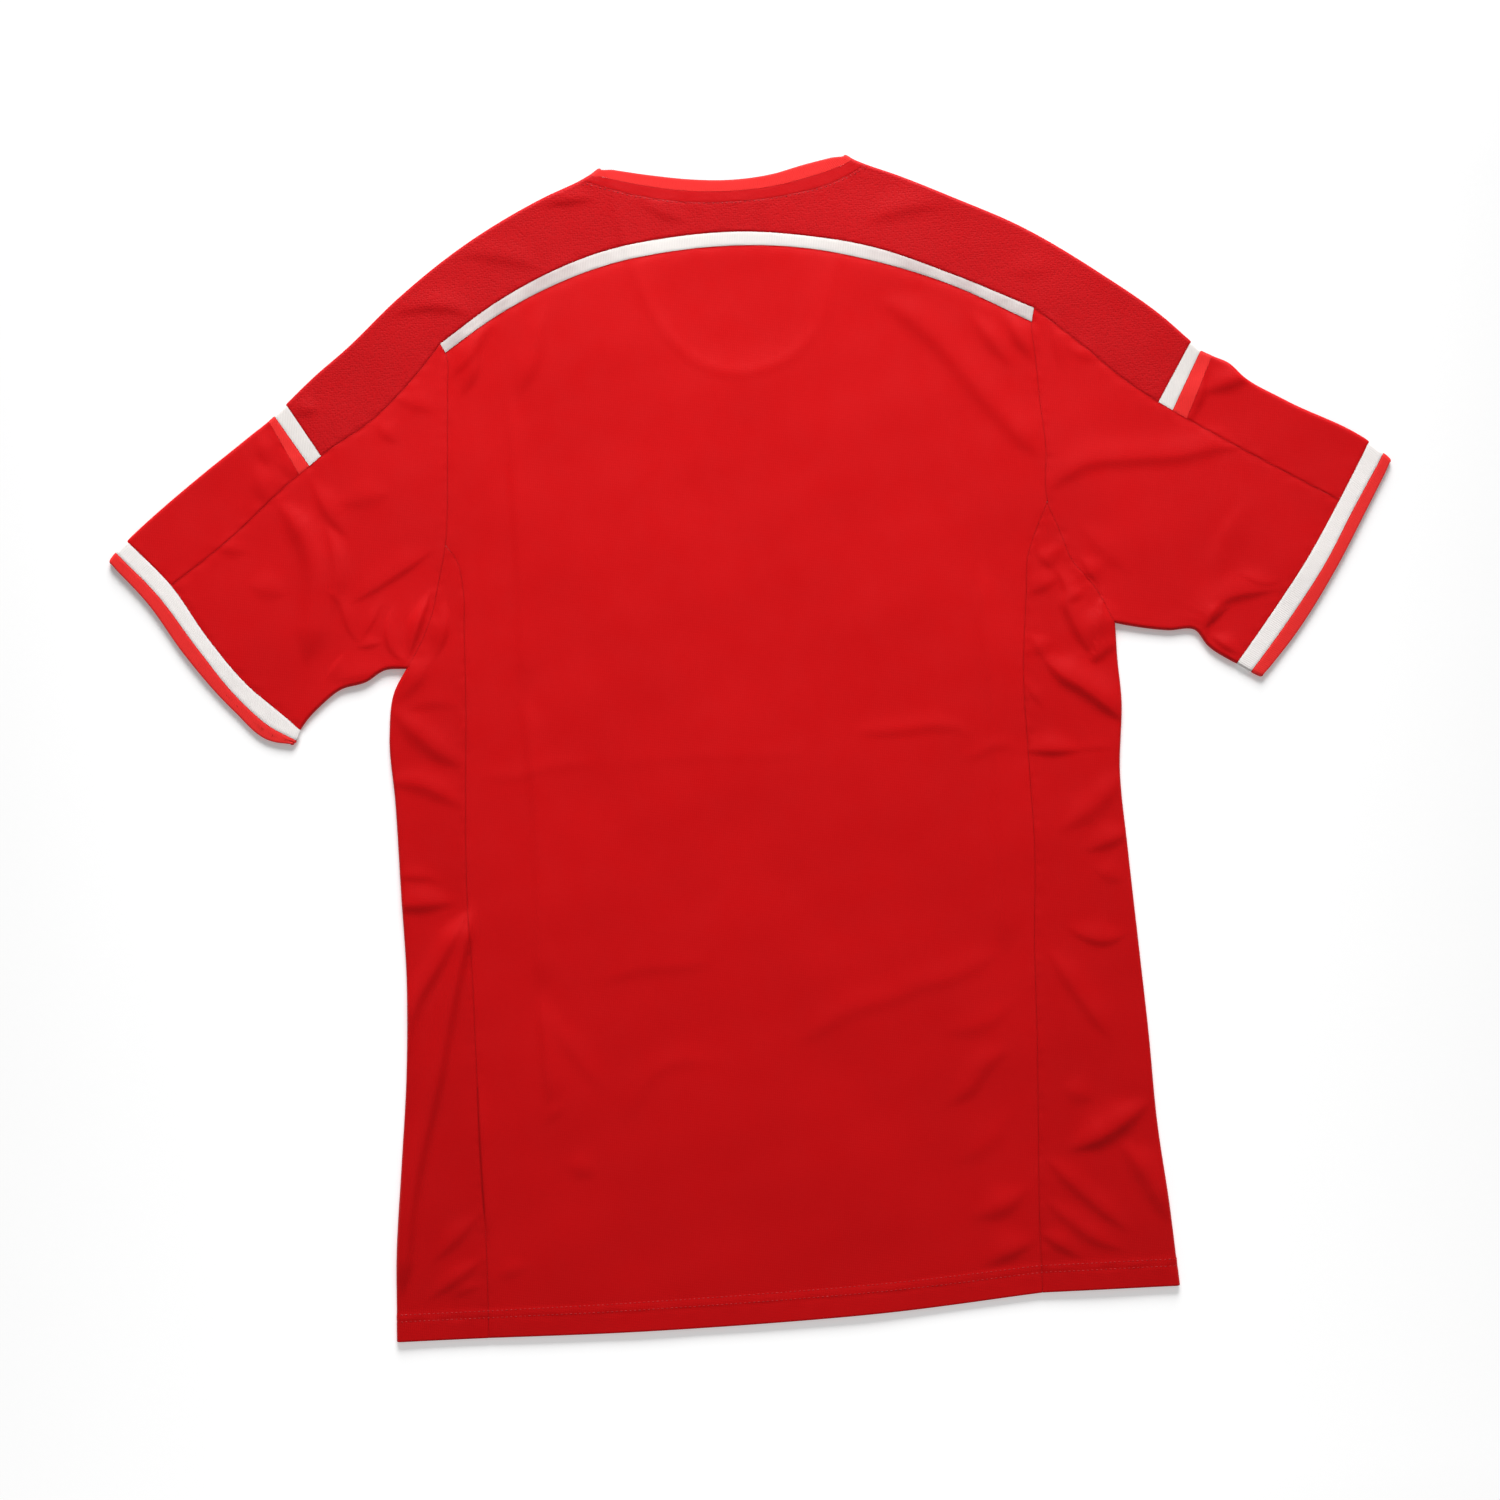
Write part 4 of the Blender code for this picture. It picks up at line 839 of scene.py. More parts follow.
def cuff_stretches(side, column):
    """A line of the cuff in two stretches, from the sleeve's seam to each of the folds that it crosses."""
    folds = {"fold": TOP[side], "underarm": UNDERARM[side]}
    return [to_the_fold(cuff_part(side, column, end), fold, FOLD_ROW[column]) for end, fold in folds.items()]


NECK_LINE = {"upper": back_neck_line, "lower": front_neck_line}


@cache
def seam_lines(layer):
    """Lines of sewing in one layer of the garment, carried on to the folds that they cross, by their kind."""
    neck = NECK_LINE[layer]
    lines = {"crisp": [TAPE["upper"].line], "plain": [], "soft": [neck(1.0)], "faint": [neck(BINDING_SHARE)]}
    if layer == "upper":
        seam = BODY_SEAM["left"].line
        drawn = (seam[:, 1] > DRAWN_SEAM[0]) & (seam[:, 1] < DRAWN_SEAM[1])
        lines["crisp"] += [TAPE["lower"].line, seam[drawn]]
    for side in SIDES:
        lines["soft"] += [BODY_SEAM[side].line, ARMHOLES[side].line]
        lines["plain"].append(SLEEVE_SEAM[side].line)
        for row, kind in (("stripe", "plain"), ("line", "crisp"), ("top", "faint")):
            lines[kind].append(to_the_fold(crossing(side, row), TOP[side], row))
        lines["plain"] += cuff_stretches(side, "seam")
        lines["crisp"] += cuff_stretches(side, "edge")
    return lines


@cache
def hem_lines():
    """The hem round one layer of the body."""
    return [HEM_CURVE.line] + [to_the_fold(hem_side(side), BODY_FOLD[side], "hem") for side in SIDES]


@cache
def edge_lines(layer):
    """Free edges of one layer of the garment, carried on to the folds that they cross."""
    cuffs = [line for side in SIDES for line in cuff_stretches(side, "end")]
    return [NECK_LINE[layer](0.0), *hem_lines(), *cuffs]


def spread(length, cells, first=SEAM_LEVELS, last=SEAM_LEVELS):
    """Shares of a length for the rows of a grid, closer together beside its ends."""
    middle = np.linspace(first[-1], length - last[-1], cells + 1)
    return np.concatenate([first[:-1], middle, length - np.array(last[-2::-1])]) / length


def patch(first_row, last_row, first_column, last_column, down, over):
    """Plan grid that spans four sampled lines; down and over are the shares on both of their sides."""
    u, v = (down[0] + down[1])[:, None] / 2, (over[0] + over[1])[None] / 2
    down = ((1 - v) * down[0][:, None] + v * down[1][:, None])[..., None]
    over = ((1 - u) * over[0][None] + u * over[1][None])[..., None]
    ruled_rows = (1 - down) * first_row[None] + down * last_row[None]
    ruled_columns = (1 - over) * first_column[:, None] + over * last_column[:, None]
    corners = (1 - down) * ((1 - over) * first_row[0] + over * first_row[-1])
    corners = corners + down * ((1 - over) * last_row[0] + over * last_row[-1])
    return ruled_rows + ruled_columns - corners


def grid_normals(points, closed=False):
    """Unit normals of a grid of points, all on the same side of the cloth."""
    down = np.gradient(points, axis=0)
    if closed:
        over = np.roll(points, -1, axis=1) - np.roll(points, 1, axis=1)
    else:
        over = np.gradient(points, axis=1)
    return unit(np.cross(over, down))


def on_top(plan):
    """Points of a plan grid on the upper layer."""
    height = cloth_height(plan.reshape(-1, 2)).reshape(plan.shape[:2])
    return np.dstack([plan, height])


def below(plan):
    """Points of a plan grid on the lower layer."""
    height = LOWER_MIDDLE + under_height(plan.reshape(-1, 2)).reshape(plan.shape[:2])
    return np.dstack([plan, height])


def round_bend(bend):
    """Points between the layers, from the upper one round the fold to the lower one."""
    angles = math.pi * np.arange(1, BEND_CELLS) / BEND_CELLS
    out = bend.reach[:, None] * np.sin(angles)
    height = LOWER_MIDDLE + bend.radius[:, None] * (1 + np.cos(angles))
    plan = bend.inner[:, None] + bend.outward[:, None] * out[..., None]
    return np.dstack([plan, height])


def unrolled(points, plan, bend, columns):
    """Flat plan of a grid that goes round a fold: beyond it the cloth is laid on outwards."""
    steps = np.linalg.norm(np.diff(points[:, columns - 1 :], axis=1), axis=2)
    reach = np.cumsum(steps, axis=1)
    beyond = bend.inner[:, None] + bend.outward[:, None] * reach[..., None]
    return np.concatenate([plan, beyond], axis=1)


def all_kept(points, closed=False):
    """Marks every cell of a grid as cloth."""
    rows, columns = points.shape[:2]
    return np.ones((rows - 1, columns if closed else columns - 1), bool)


def upward(points, normals, columns):
    """The normals, turned over if they point down on the upper layer's columns."""
    return normals if normals[:, :columns, 2].mean() > 0 else -normals


def flat_piece(plan, under=False):
    """A piece that lies in one layer."""
    points = below(plan) if under else on_top(plan)
    normals = upward(points, grid_normals(points), plan.shape[1])
    if under:
        normals = -normals
    layer = np.full(plan.shape[:2], under)
    return Cloth(points, normals, plan, plan, layer, False, all_kept(points))


def under_columns(columns):
    """Columns of the upper layer that the lower one repeats, from the fold back to the seam."""
    fine = len(SEAM_LEVELS) - 1
    return [*range(columns - 1, fine, -UNDER_STRIDE), *range(fine, -1, -1)]


def wrapped(plan, bend):
    """A piece from a seam over the upper layer, round a fold and back to the seam underneath."""
    columns = plan.shape[1]
    upper = on_top(plan)
    upper[:, -1, 2] = LOWER_MIDDLE + 2 * bend.radius
    turn = round_bend(bend)
    lower = below(plan[:, under_columns(columns)])
    points = np.concatenate([upper, turn, lower], axis=1)
    normals = upward(points, grid_normals(points), columns)
    layer = np.zeros(points.shape[:2], bool)
    layer[:, columns + turn.shape[1] :] = True
    flat = unrolled(points, plan, bend, columns)
    return Cloth(points, normals, points[..., :2], flat, layer, False, all_kept(points))


def looped(upper_plan, first_bend, last_bend, lower_plan):
    """A closed piece round an opening: upper layer, fold, lower layer, fold."""
    columns = upper_plan.shape[1]
    upper = on_top(upper_plan)
    upper[:, 0, 2] = LOWER_MIDDLE + 2 * first_bend.radius
    upper[:, -1, 2] = LOWER_MIDDLE + 2 * last_bend.radius
    far, near = round_bend(last_bend), round_bend(first_bend)[:, ::-1]
    points = np.concatenate([upper, far, below(lower_plan), near], axis=1)
    normals = upward(points, grid_normals(points, closed=True), columns)
    layer = np.zeros(points.shape[:2], bool)
    start = columns + far.shape[1]
    layer[:, start : start + lower_plan.shape[1]] = True
    around = np.concatenate([points, points[:, :1]], axis=1)
    along = np.cumsum(np.linalg.norm(np.diff(around, axis=1), axis=2), axis=1).mean(axis=0)
    across = np.cumsum(np.linalg.norm(np.diff(points, axis=0), axis=2), axis=0).mean(axis=1)
    along, across = np.concatenate([[0.0], along]), np.concatenate([[0.0], across])
    flat = np.dstack(np.meshgrid(along, across))
    return Cloth(points, normals, points[..., :2], flat, layer, True, all_kept(points, closed=True))


def cells_between(length, cell, first, last):
    """How many cells of about a size fit between the closer rows at the two ends of a length."""
    return max(round((length - first[-1] - last[-1]) / cell), 1)


def even_shares(lines, cell, first=SEAM_LEVELS, last=SEAM_LEVELS):
    """Shares of the lengths of two lines, with the same number of rows and cells of about a size."""
    lengths = [line_lengths(line)[-1] for line in lines]
    cells = cells_between(max(lengths), cell, first, last)
    return [spread(length, cells, first, last) for length in lengths]


def sampled(lines, shares):
    """Points of each line at its own shares."""
    return [at_shares(line, share) for line, share in zip(lines, shares)]


def span(rows, columns, cell, down_levels=(SEAM_LEVELS, SEAM_LEVELS), over_levels=(SEAM_LEVELS, SEAM_LEVELS)):
    """Plan grid between two lines across and two lines down, with cells of about a size."""
    down, over = even_shares(columns, cell, *down_levels), even_shares(rows, cell, *over_levels)
    return patch(*sampled(rows, over), *sampled(columns, down), down, over)


FoldRun = namedtuple("FoldRun", "curve start end corner")


def wrap_plan(rows, seam, fold, cell, down_levels=(SEAM_LEVELS, SEAM_LEVELS), over_last=PLAIN, across=None):
    """Plan grid from a seam to a fold, the fold along it, and the shares across its two end rows."""
    curve, start, end, corner = fold
    seam_length = line_lengths(seam)[-1]
    cells = cells_between(seam_length, cell, *down_levels)
    fold_length = abs(curve.at(end) - curve.at(start))
    down = [spread(length, cells, *down_levels) for length in (seam_length, fold_length)]
    bend = bend_along(curve, start, end, down[1], corner)
    lengths = [line_lengths(line)[-1] for line in rows]
    across = across or cells_between(max(lengths), cell, SEAM_LEVELS, over_last)
    over = [spread(length, across, SEAM_LEVELS, over_last) for length in lengths]
    plan = patch(*sampled(rows, over), at_shares(seam, down[0]), bend.inner, down, over)
    return plan, bend, over


def body_sides(end):
    """Seams at both sides of the back or the front, from the hem to a named row of the armhole."""
    return [join(BODY_SEAM[side].run("hem", "armhole"), ARMHOLES[side].run("side", end)) for side in SIDES]


def back_panel(cell):
    """Centre back, from the hem to the white tape, between the side seams and the armholes."""
    rows = HEM_CURVE.run("left", "right"), TAPE["lower"].run("left", "right")
    return flat_piece(span(rows, body_sides("stripe"), cell, (HEM_LEVELS, SEAM_LEVELS)))


def front_panel(cell):
    """Centre front, which lies on the floor, from the hem to the collar and the yoke's front seams."""
    top = join(
        TAPE["upper"].run("left", "left_collar"),
        NECK_CURVE["front"]["seam"].run("left_collar", "right_collar"),
        TAPE["upper"].run("right_collar", "right"),
    )
    rows = HEM_CURVE.run("left", "right"), top
    return flat_piece(span(rows, body_sides("yoke"), cell, (HEM_LEVELS, SEAM_LEVELS)), under=True)


def side_panel(side, cell):
    """Side panel from the seam beside the back, round the side fold to the seam beside the front."""
    fold = FoldRun(BODY_FOLD[side], "hem", "armpit", armpit(side))
    rows = hem_side(side), armhole_line(side, "side")
    seam = BODY_SEAM[side].run("hem", "armhole")
    plan, bend, _ = wrap_plan(rows, seam, fold, cell, (HEM_LEVELS, SEAM_LEVELS))
    return wrapped(plan, bend)


def sleeve(side, cell):
    """Sleeve from its upper seam, round the underarm fold to the same seam at the front."""
    fold = FoldRun(UNDERARM[side], "armpit", "cuff", armpit(side))
    rows = armhole_line(side, "yoke"), cuff_part(side, "seam", "underarm")
    plan, bend, _ = wrap_plan(rows, SLEEVE_SEAM[side].run("yoke", "cuff"), fold, cell)
    return wrapped(plan, bend)


def over_the_top(side, start, end, cell):
    """A piece over the top of the sleeve between two rows of the fold."""
    fold = FoldRun(TOP[side], start, end, None)
    last = cuff_part(side, "seam", "fold") if end == "cuff" else crossing(side, end)
    rows = crossing(side, start), last
    plan, bend, _ = wrap_plan(rows, SLEEVE_SEAM[side].run(start, end), fold, cell)
    return wrapped(plan, bend)


def yoke_piece(cell):
    """Yoke over both shoulders, open at the neck, from the white tape to the front seam."""
    wings, plans, bends, shares = [], [], [], []
    across = round(YOKE_DEPTH / cell)
    for side in SIDES:
        seam = join(SLEEVE_SEAM[side].run("stripe", "yoke"), TAPE["upper"].run(side, side + "_collar"))
        fold = FoldRun(TOP[side], "stripe", "band", None)
        rows = crossing(side, "stripe"), front_collar_side(side)
        plan, bend, over = wrap_plan(rows, seam, fold, cell, over_last=SEAM_LEVELS, across=across)
        wings.append(wrapped(plan, bend))
        plans.append(plan)
        bends.append(bend)
        shares.append(over[1])
    columns = TAPE["upper"].run("left_collar", "right_collar"), back_neck_line(1.0)
    down = even_shares(columns, cell, PLAIN, PLAIN)
    middle = flat_piece(patch(plans[0][-1], plans[1][-1], *sampled(columns, down), down, shares))
    return beside_each_other(wings, middle)


def beside_each_other(wings, middle):
    """The yoke's two wings, which go over the shoulders, with its single-layer middle between them."""
    left, right = wings
    upper = middle.points.shape[1]
    spare = left.points.shape[1] - upper

    def stacked(name):
        values = [getattr(piece, name) for piece in (left, middle, right)]
        pad = ((0, 0), (0, spare)) + ((0, 0),) * (values[1].ndim - 2)
        return np.concatenate([values[0], np.pad(values[1][1:-1], pad), values[2][::-1]])

    points = stacked("points")
    kept = all_kept(points)
    first = len(left.points) - 1
    kept[first : first + len(middle.points) - 1, upper - 1 :] = False
    return Cloth(points, stacked("normals"), stacked("plan"), stacked("flat"), stacked("under"), False, kept)


def yoke_tape(cell):
    """White tape between yoke and back panel."""
    rows = [TAPE[column].run("left", "right") for column in ("upper", "lower")]
    columns = [ARMHOLES[side].run("yoke", "stripe") for side in SIDES]
    return flat_piece(span(rows, columns, cell))


def cuff_piece(side, start, end, cell):
    """A band round the end of the sleeve between two lines of the cuff."""
    lines = cuff_line(side, start), cuff_line(side, end)
    levels = (SEAM_LEVELS, EDGE_LEVELS if end == "end" else SEAM_LEVELS)
    folds = TOP[side], UNDERARM[side]
    rows = FOLD_ROW[start], FOLD_ROW[end]
    widths = [curve.at(rows[1]) - curve.at(rows[0]) for curve in folds]
    cells = cells_between(max(widths), cell, *levels)
    down = [spread(abs(width), cells, *levels) for width in widths]
    bends = [bend_along(curve, *rows, share) for curve, share in zip(folds, down)]
    if end == "end":
        bends = [
            rounded(bend, (1 - share) * abs(width)) for bend, share, width in zip(bends, down, widths)
        ]
    over = even_shares(lines, cell, PLAIN, PLAIN)
    upper = patch(*sampled(lines, over), *(bend.inner for bend in bends), down, over)
    back = [*range(upper.shape[1] - 1, 0, -UNDER_STRIDE), 0]
    return looped(upper, *bends, upper[:, back])


def collar_piece(start, end, cell):
    """A ring round the neck opening between two shares of the collar's width."""
    rows = COLLAR_ROWS[start], COLLAR_ROWS[end]
    levels = (EDGE_LEVELS if start == 0.0 else SEAM_LEVELS, SEAM_LEVELS)
    widths = [TOP[side].at(rows[1]) - TOP[side].at(rows[0]) for side in SIDES]
    cells = cells_between(max(widths), cell, *levels)
    down = [spread(width, cells, *levels) for width in widths]
    bends = [bend_along(TOP[side], *rows, share) for side, share in zip(SIDES, down)]
    if start == 0.0:
        bends = [rounded(bend, share * width) for bend, share, width in zip(bends, down, widths)]
    plans = []
    for neck_line in (back_neck_line, front_neck_line):
        lines = neck_line(start), neck_line(end)
        over = [np.linspace(0, 1, round(line_lengths(lines[1])[-1] / cell))] * len(lines)
        plans.append(patch(*sampled(lines, over), *(bend.inner for bend in bends), down, over))
    return looped(plans[0], *bends, plans[1][:, ::-1])


Sewing = namedtuple("Sewing", "groove width pucker hem")


def sewing_relief(plan, under, sewing, sizes):
    """Height of the sewing over the plain cloth, distance to a free edge, and the painted shade along the
    seams and needle rows.
    """
    height, edge, shade = (np.zeros(len(plan)) for _ in range(3))
    for layer, chosen in (("upper", ~under), ("lower", under)):
        points = plan[chosen]
        free = distance_within(points, edge_lines(layer), SEAM_REACH)
        seam, rise, dark = np.full(len(points), SEAM_REACH), np.zeros(len(points)), np.zeros(len(points))
        for kind, lines in seam_lines(layer).items():
            gap = distance_within(points, lines, SEAM_REACH)
            strength = SEAM_STRENGTH[kind]
            depth = strength * sewing.groove * sizes.groove / MM
            rise = np.minimum(rise, -depth * np.exp(-((gap / sewing.width) ** 2)))
            dark = np.maximum(dark, strength * np.exp(-((gap / SHADE_WIDTH) ** 2)))
            seam = np.minimum(seam, gap)
        near = np.exp(-((seam / PUCKER_REACH) ** 2)) * step_up(seam / GROOVE_WIDTH)
        if sewing.hem:
            hem = distance_within(points, hem_lines(), HEM_REACH)
            rise += HEM_RISE * step_up((HEM_ROWS[1] + HEM_MARGIN - hem) / HEM_MARGIN)
            for row in HEM_ROWS:
                needle = np.exp(-(((hem - row) / NEEDLE_WIDTH) ** 2))
                rise -= NEEDLE_DEPTH * needle
                dark = np.maximum(dark, NEEDLE_SHADE * needle)
            near = np.maximum(near, np.exp(-(((hem - HEM_ROWS[0]) / PUCKER_REACH) ** 2)))
        rise += sewing.pucker * near * wave_height(points, PUCKERS)
        rise -= EDGE_DROP * np.clip(1 - free / EDGE_ROUND, 0, 1) ** 2
        height[chosen] = np.minimum(rise, 0) if layer == "lower" else rise
        edge[chosen] = free
        shade[chosen] = dark
    return height, edge, shade


def grid_corners(cloth):
    """Rows and columns of the four corners of every kept cell of a grid."""
    row, column = np.nonzero(cloth.kept)
    rows = np.stack([row, row, row + 1, row + 1], axis=1)
    columns = np.stack([column, column + 1, column + 1, column], axis=1)
    return rows, columns


def open_edges(quads):
    """Edges that only one cell has, as places of their corners in the list of cells."""
    starts = np.arange(quads.size).reshape(quads.shape)
    ends = np.roll(starts, -1, axis=1)
    pairs = np.stack([quads, np.roll(quads, -1, axis=1)], axis=2).reshape(-1, 2)
    keys = np.sort(pairs, axis=1) @ np.array([quads.max() + 1, 1])
    _, first, count = np.unique(keys, return_index=True, return_counts=True)
    alone = first[count == 1]
    return starts.reshape(-1)[alone], ends.reshape(-1)[alone]


def pull_in(points, normals, start, end, slit):
    """Moves every open edge inwards by half the slit of a seam."""
    along = points[end] - points[start]
    across = unit(np.cross(normals[start] + normals[end], along))
    inward = np.zeros_like(points)
    np.add.at(inward, start, across)
    np.add.at(inward, end, across)
    size = np.maximum((inward**2).sum(axis=1, keepdims=True), CORNER_LEAST)
    return points + inward * np.where(inward.any(axis=1, keepdims=True), slit / size, 0)


def make_shell(name, cloth, sewing, material, sizes):
    """A thin closed shell of cloth, and the places of its outer points as a grid."""
    rows, columns = cloth.points.shape[:2]
    points, normals = cloth.points.reshape(-1, 3), cloth.normals.reshape(-1, 3)
    corner_rows, corner_columns = grid_corners(cloth)
    quads = corner_rows * columns + corner_columns % columns
    flats = corner_rows * cloth.flat.shape[1] + corner_columns
    a, b, c, d = points[quads[0]]
    if np.cross(c - a, d - b) @ normals[quads[0, 0]] < 0:
        quads, flats = quads[:, ::-1], flats[:, ::-1]
    starts, ends = open_edges(quads)
    edge_start, edge_end = quads.reshape(-1)[starts], quads.reshape(-1)[ends]
    points = pull_in(points, normals, edge_start, edge_end, sizes.slit / MM)
    height, edge, shade = sewing_relief(cloth.plan.reshape(-1, 2), cloth.under.reshape(-1), sewing, sizes)
    thin = 1 - EDGE_THIN * np.clip(1 - edge / EDGE_ROUND, 0, 1) ** 2
    outer = points + normals * (WALL / 2 + height)[:, None]
    inner = outer - normals * (sizes.cloth / MM * thin)[:, None]
    count = rows * columns
    rim = np.stack([edge_end, edge_start, edge_start + count, edge_end + count], axis=1)
    faces = np.concatenate([quads, quads[:, ::-1] + count, rim])
    rim_flat = flats.reshape(-1)[np.stack([ends, starts, starts, ends], axis=1)]
    corners = np.concatenate([flats, flats[:, ::-1], rim_flat])
    used, faces = np.unique(faces, return_inverse=True)
    vertices = np.concatenate([outer, inner])[used]
    vertices[:, 2] = np.maximum(vertices[:, 2], 0)
    piece = make_object(name, vertices, faces.reshape(-1, 4), material)
    layer = piece.data.uv_layers.new(name="cloth")
    layer.data.foreach_set("uv", (cloth.flat.reshape(-1, 2)[corners.reshape(-1)] * MM).reshape(-1))
    # The seam attribute is painted shade: it darkens the colour along the seams and the hem's needle rows.
    seams = piece.data.attributes.new("seam", "FLOAT", "POINT")
    seams.data.foreach_set("value", np.concatenate([shade, shade])[used])
    return piece, outer.reshape(rows, columns, 3)


def in_frame(points):
    """Points of the cut, in millimetres, as metres in the part's frame."""
    return (points - np.array([*GARMENT_CENTRE, 0.0])) * MM


def add_object(name, data):
    """A new object in the scene, for a mesh, lamp or camera."""
    item = bpy.data.objects.new(name, data)
    bpy.context.scene.collection.objects.link(item)
    return item


def make_object(name, vertices, faces, material):
    """A smooth mesh object from vertices of the cut."""
    mesh = bpy.data.meshes.new(name)
    mesh.from_pydata(in_frame(vertices).tolist(), [], faces.tolist())
    mesh.materials.append(material)
    mesh.shade_smooth()
    mesh.set_sharp_from_angle(angle=math.radians(SHARP_DEGREES))
    mesh.update()
    return add_object(name, mesh)


def cut_of(cloth):
    """Width, length and area of a piece's cut, measured along the cloth, in metres."""
    kept = np.pad(cloth.kept, ((1, 1), (0, 0)))
    points = np.concatenate([cloth.points, cloth.points[:, :1]], axis=1) if cloth.closed else cloth.points
    over = np.linalg.norm(np.diff(points, axis=1), axis=2) * (kept[1:] | kept[:-1])
    kept = np.pad(cloth.kept, ((0, 0), (1, 1)))
    beside = (kept[:, 1:] | kept[:, :-1])[:, : points.shape[1]]
    down = np.linalg.norm(np.diff(points, axis=0), axis=2) * beside
    first = np.cross(points[:-1, 1:] - points[:-1, :-1], points[1:, :-1] - points[:-1, :-1])
    last = np.cross(points[:-1, 1:] - points[1:, 1:], points[1:, :-1] - points[1:, 1:])
    area = (np.linalg.norm(first, axis=2) + np.linalg.norm(last, axis=2)) / 2 * cloth.kept
    sizes = sorted([over.sum(axis=1).max() * MM, down.sum(axis=0).max() * MM])
    return max(sizes[0], SMALLEST_CUT), sizes[1], area.sum() * MM**2


def lay(piece, node, slot, cloth, rests_on="floor"):
    corners = np.array([vertex.co for vertex in piece.data.vertices])
    low, high = corners.min(axis=0), corners.max(axis=0)
    solid_low, solid_high = (np.array(corner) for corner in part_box(node))
    gap = max(np.abs(low - solid_low).max(), np.abs(high - solid_high).max())
    if gap > PLACE_SLACK * MM:
        raise RuntimeError(f"{piece.name} is {gap / MM:.1f} mm off its solid {node}")
    width, length, area = cut_of(cloth)
    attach(piece, "root")
    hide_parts(node)


def linear(hex_colour):
    """An sRGB colour such as D41D22 as linear red, green and blue."""
    channels = [int(hex_colour[start : start + 2], 16) / 255 for start in (0, 2, 4)]
    return tuple(c / 12.92 if c <= 0.04045 else ((c + 0.055) / 1.055) ** 2.4 for c in channels)


def put(tree, kind, settings=None, inputs=None):
    """Adds a node with its own settings, and values or links for its inputs."""
    node = tree.nodes.new(kind)
    for name, value in (settings or {}).items():
        setattr(node, name, value)
    for name, value in (inputs or {}).items():
        if isinstance(value, bpy.types.NodeSocket):
            tree.links.new(value, node.inputs[name])
        else:
            node.inputs[name].default_value = value
    return node


def cloth_material(name, sockets):
    """A new material, with the values that are the same all over set on its shader."""
    material = bpy.data.materials.new(name)
    material.use_nodes = True
    shader = material.node_tree.nodes["Principled BSDF"]
    for socket, value in sockets.items():
        shader.inputs[socket].default_value = value
    return material, material.node_tree, shader


def cloth_directions(tree):
    """Lengths along the cloth in metres, across the grain and along it."""
    cut = put(tree, "ShaderNodeUVMap", {"uv_map": "cloth"})
    parts = put(tree, "ShaderNodeSeparateXYZ", inputs={0: cut.outputs[0]})
    return parts.outputs[0], parts.outputs[1]


def maths(tree, operation, *values):
    """The outcome of one sum on values or links."""
    return put(tree, "ShaderNodeMath", {"operation": operation}, dict(enumerate(values))).outputs[0]


def ranged(tree, value, **limits):
    """A value moved from one range to another. A limit that isn't given, such as to_max, is 0 or 1."""
    inputs = {name.replace("_", " ").title(): limit for name, limit in limits.items()}
    return put(tree, "ShaderNodeMapRange", inputs={"Value": value, **inputs}).outputs[0]


def wave_of(tree, length, pitch, shift=0.0):
    """A sine over a length, from -1 to 1, with a pitch in millimetres and a shift in radians."""
    turns = maths(tree, "MULTIPLY", length, 2 * math.pi / (pitch * MM))
    return maths(tree, "SINE", maths(tree, "ADD", turns, shift))


def knit_loops(tree, wale):
    """Height of the loops of a fine knit, from about 0 to 1: legs that lean into a V in each wale."""
    across, along = cloth_directions(tree)
    legs = maths(tree, "ABSOLUTE", wave_of(tree, across, 2 * wale))
    rows = wave_of(tree, along, COURSE_SHARE * wale, maths(tree, "MULTIPLY", legs, LOOP_LEAN))
    relief = maths(tree, "MULTIPLY_ADD", rows, COURSE_RELIEF, 0.5)
    return maths(tree, "MULTIPLY_ADD", wave_of(tree, across, wale), WALE_RELIEF, relief)


def knit_pores(tree, pitch):
    """Height of a textured mesh knit, from 0 in a pore to 1 between them."""
    across, along = cloth_directions(tree)
    place = put(tree, "ShaderNodeCombineXYZ", inputs={0: across, 1: along}).outputs[0]
    spots = {"Vector": place, "Scale": 1 / (pitch * MM), "Randomness": PORE_STRAY}
    pores = put(tree, "ShaderNodeTexVoronoi", {"feature": "F1"}, spots)
    return ranged(tree, pores.outputs["Distance"], from_max=PORE_SHARE)


def rib_lines(tree, pitch):
    """Height of fine ribs, from 0 to 1, that run along the length of the cloth."""
    across, _ = cloth_directions(tree)
    return ranged(tree, wave_of(tree, across, pitch), from_min=-1.0)


def patches(tree, size, detail=2.0):
    """Cloudy values from 0 to 1, with patches of about a size in millimetres."""
    place = put(tree, "ShaderNodeTexCoord").outputs["Object"]
    cloud = {"Vector": place, "Scale": 1 / (size * MM), "Detail": detail, "Roughness": PATCH_ROUGHNESS}
    return ranged(tree, put(tree, "ShaderNodeTexNoise", inputs=cloud).outputs[0], **PATCH_RANGE)


def opaque(colour, depth=1.0):
    """A colour, deepened by a share, with its alpha."""
    return *(depth * channel for channel in colour), 1.0


def blend(tree, share, first, last):
    """A mix of two colours by a share from 0 to 1."""
    return put(tree, "ShaderNodeMix", {"data_type": "RGBA"}, {0: share, 6: first, 7: last}).outputs[2]


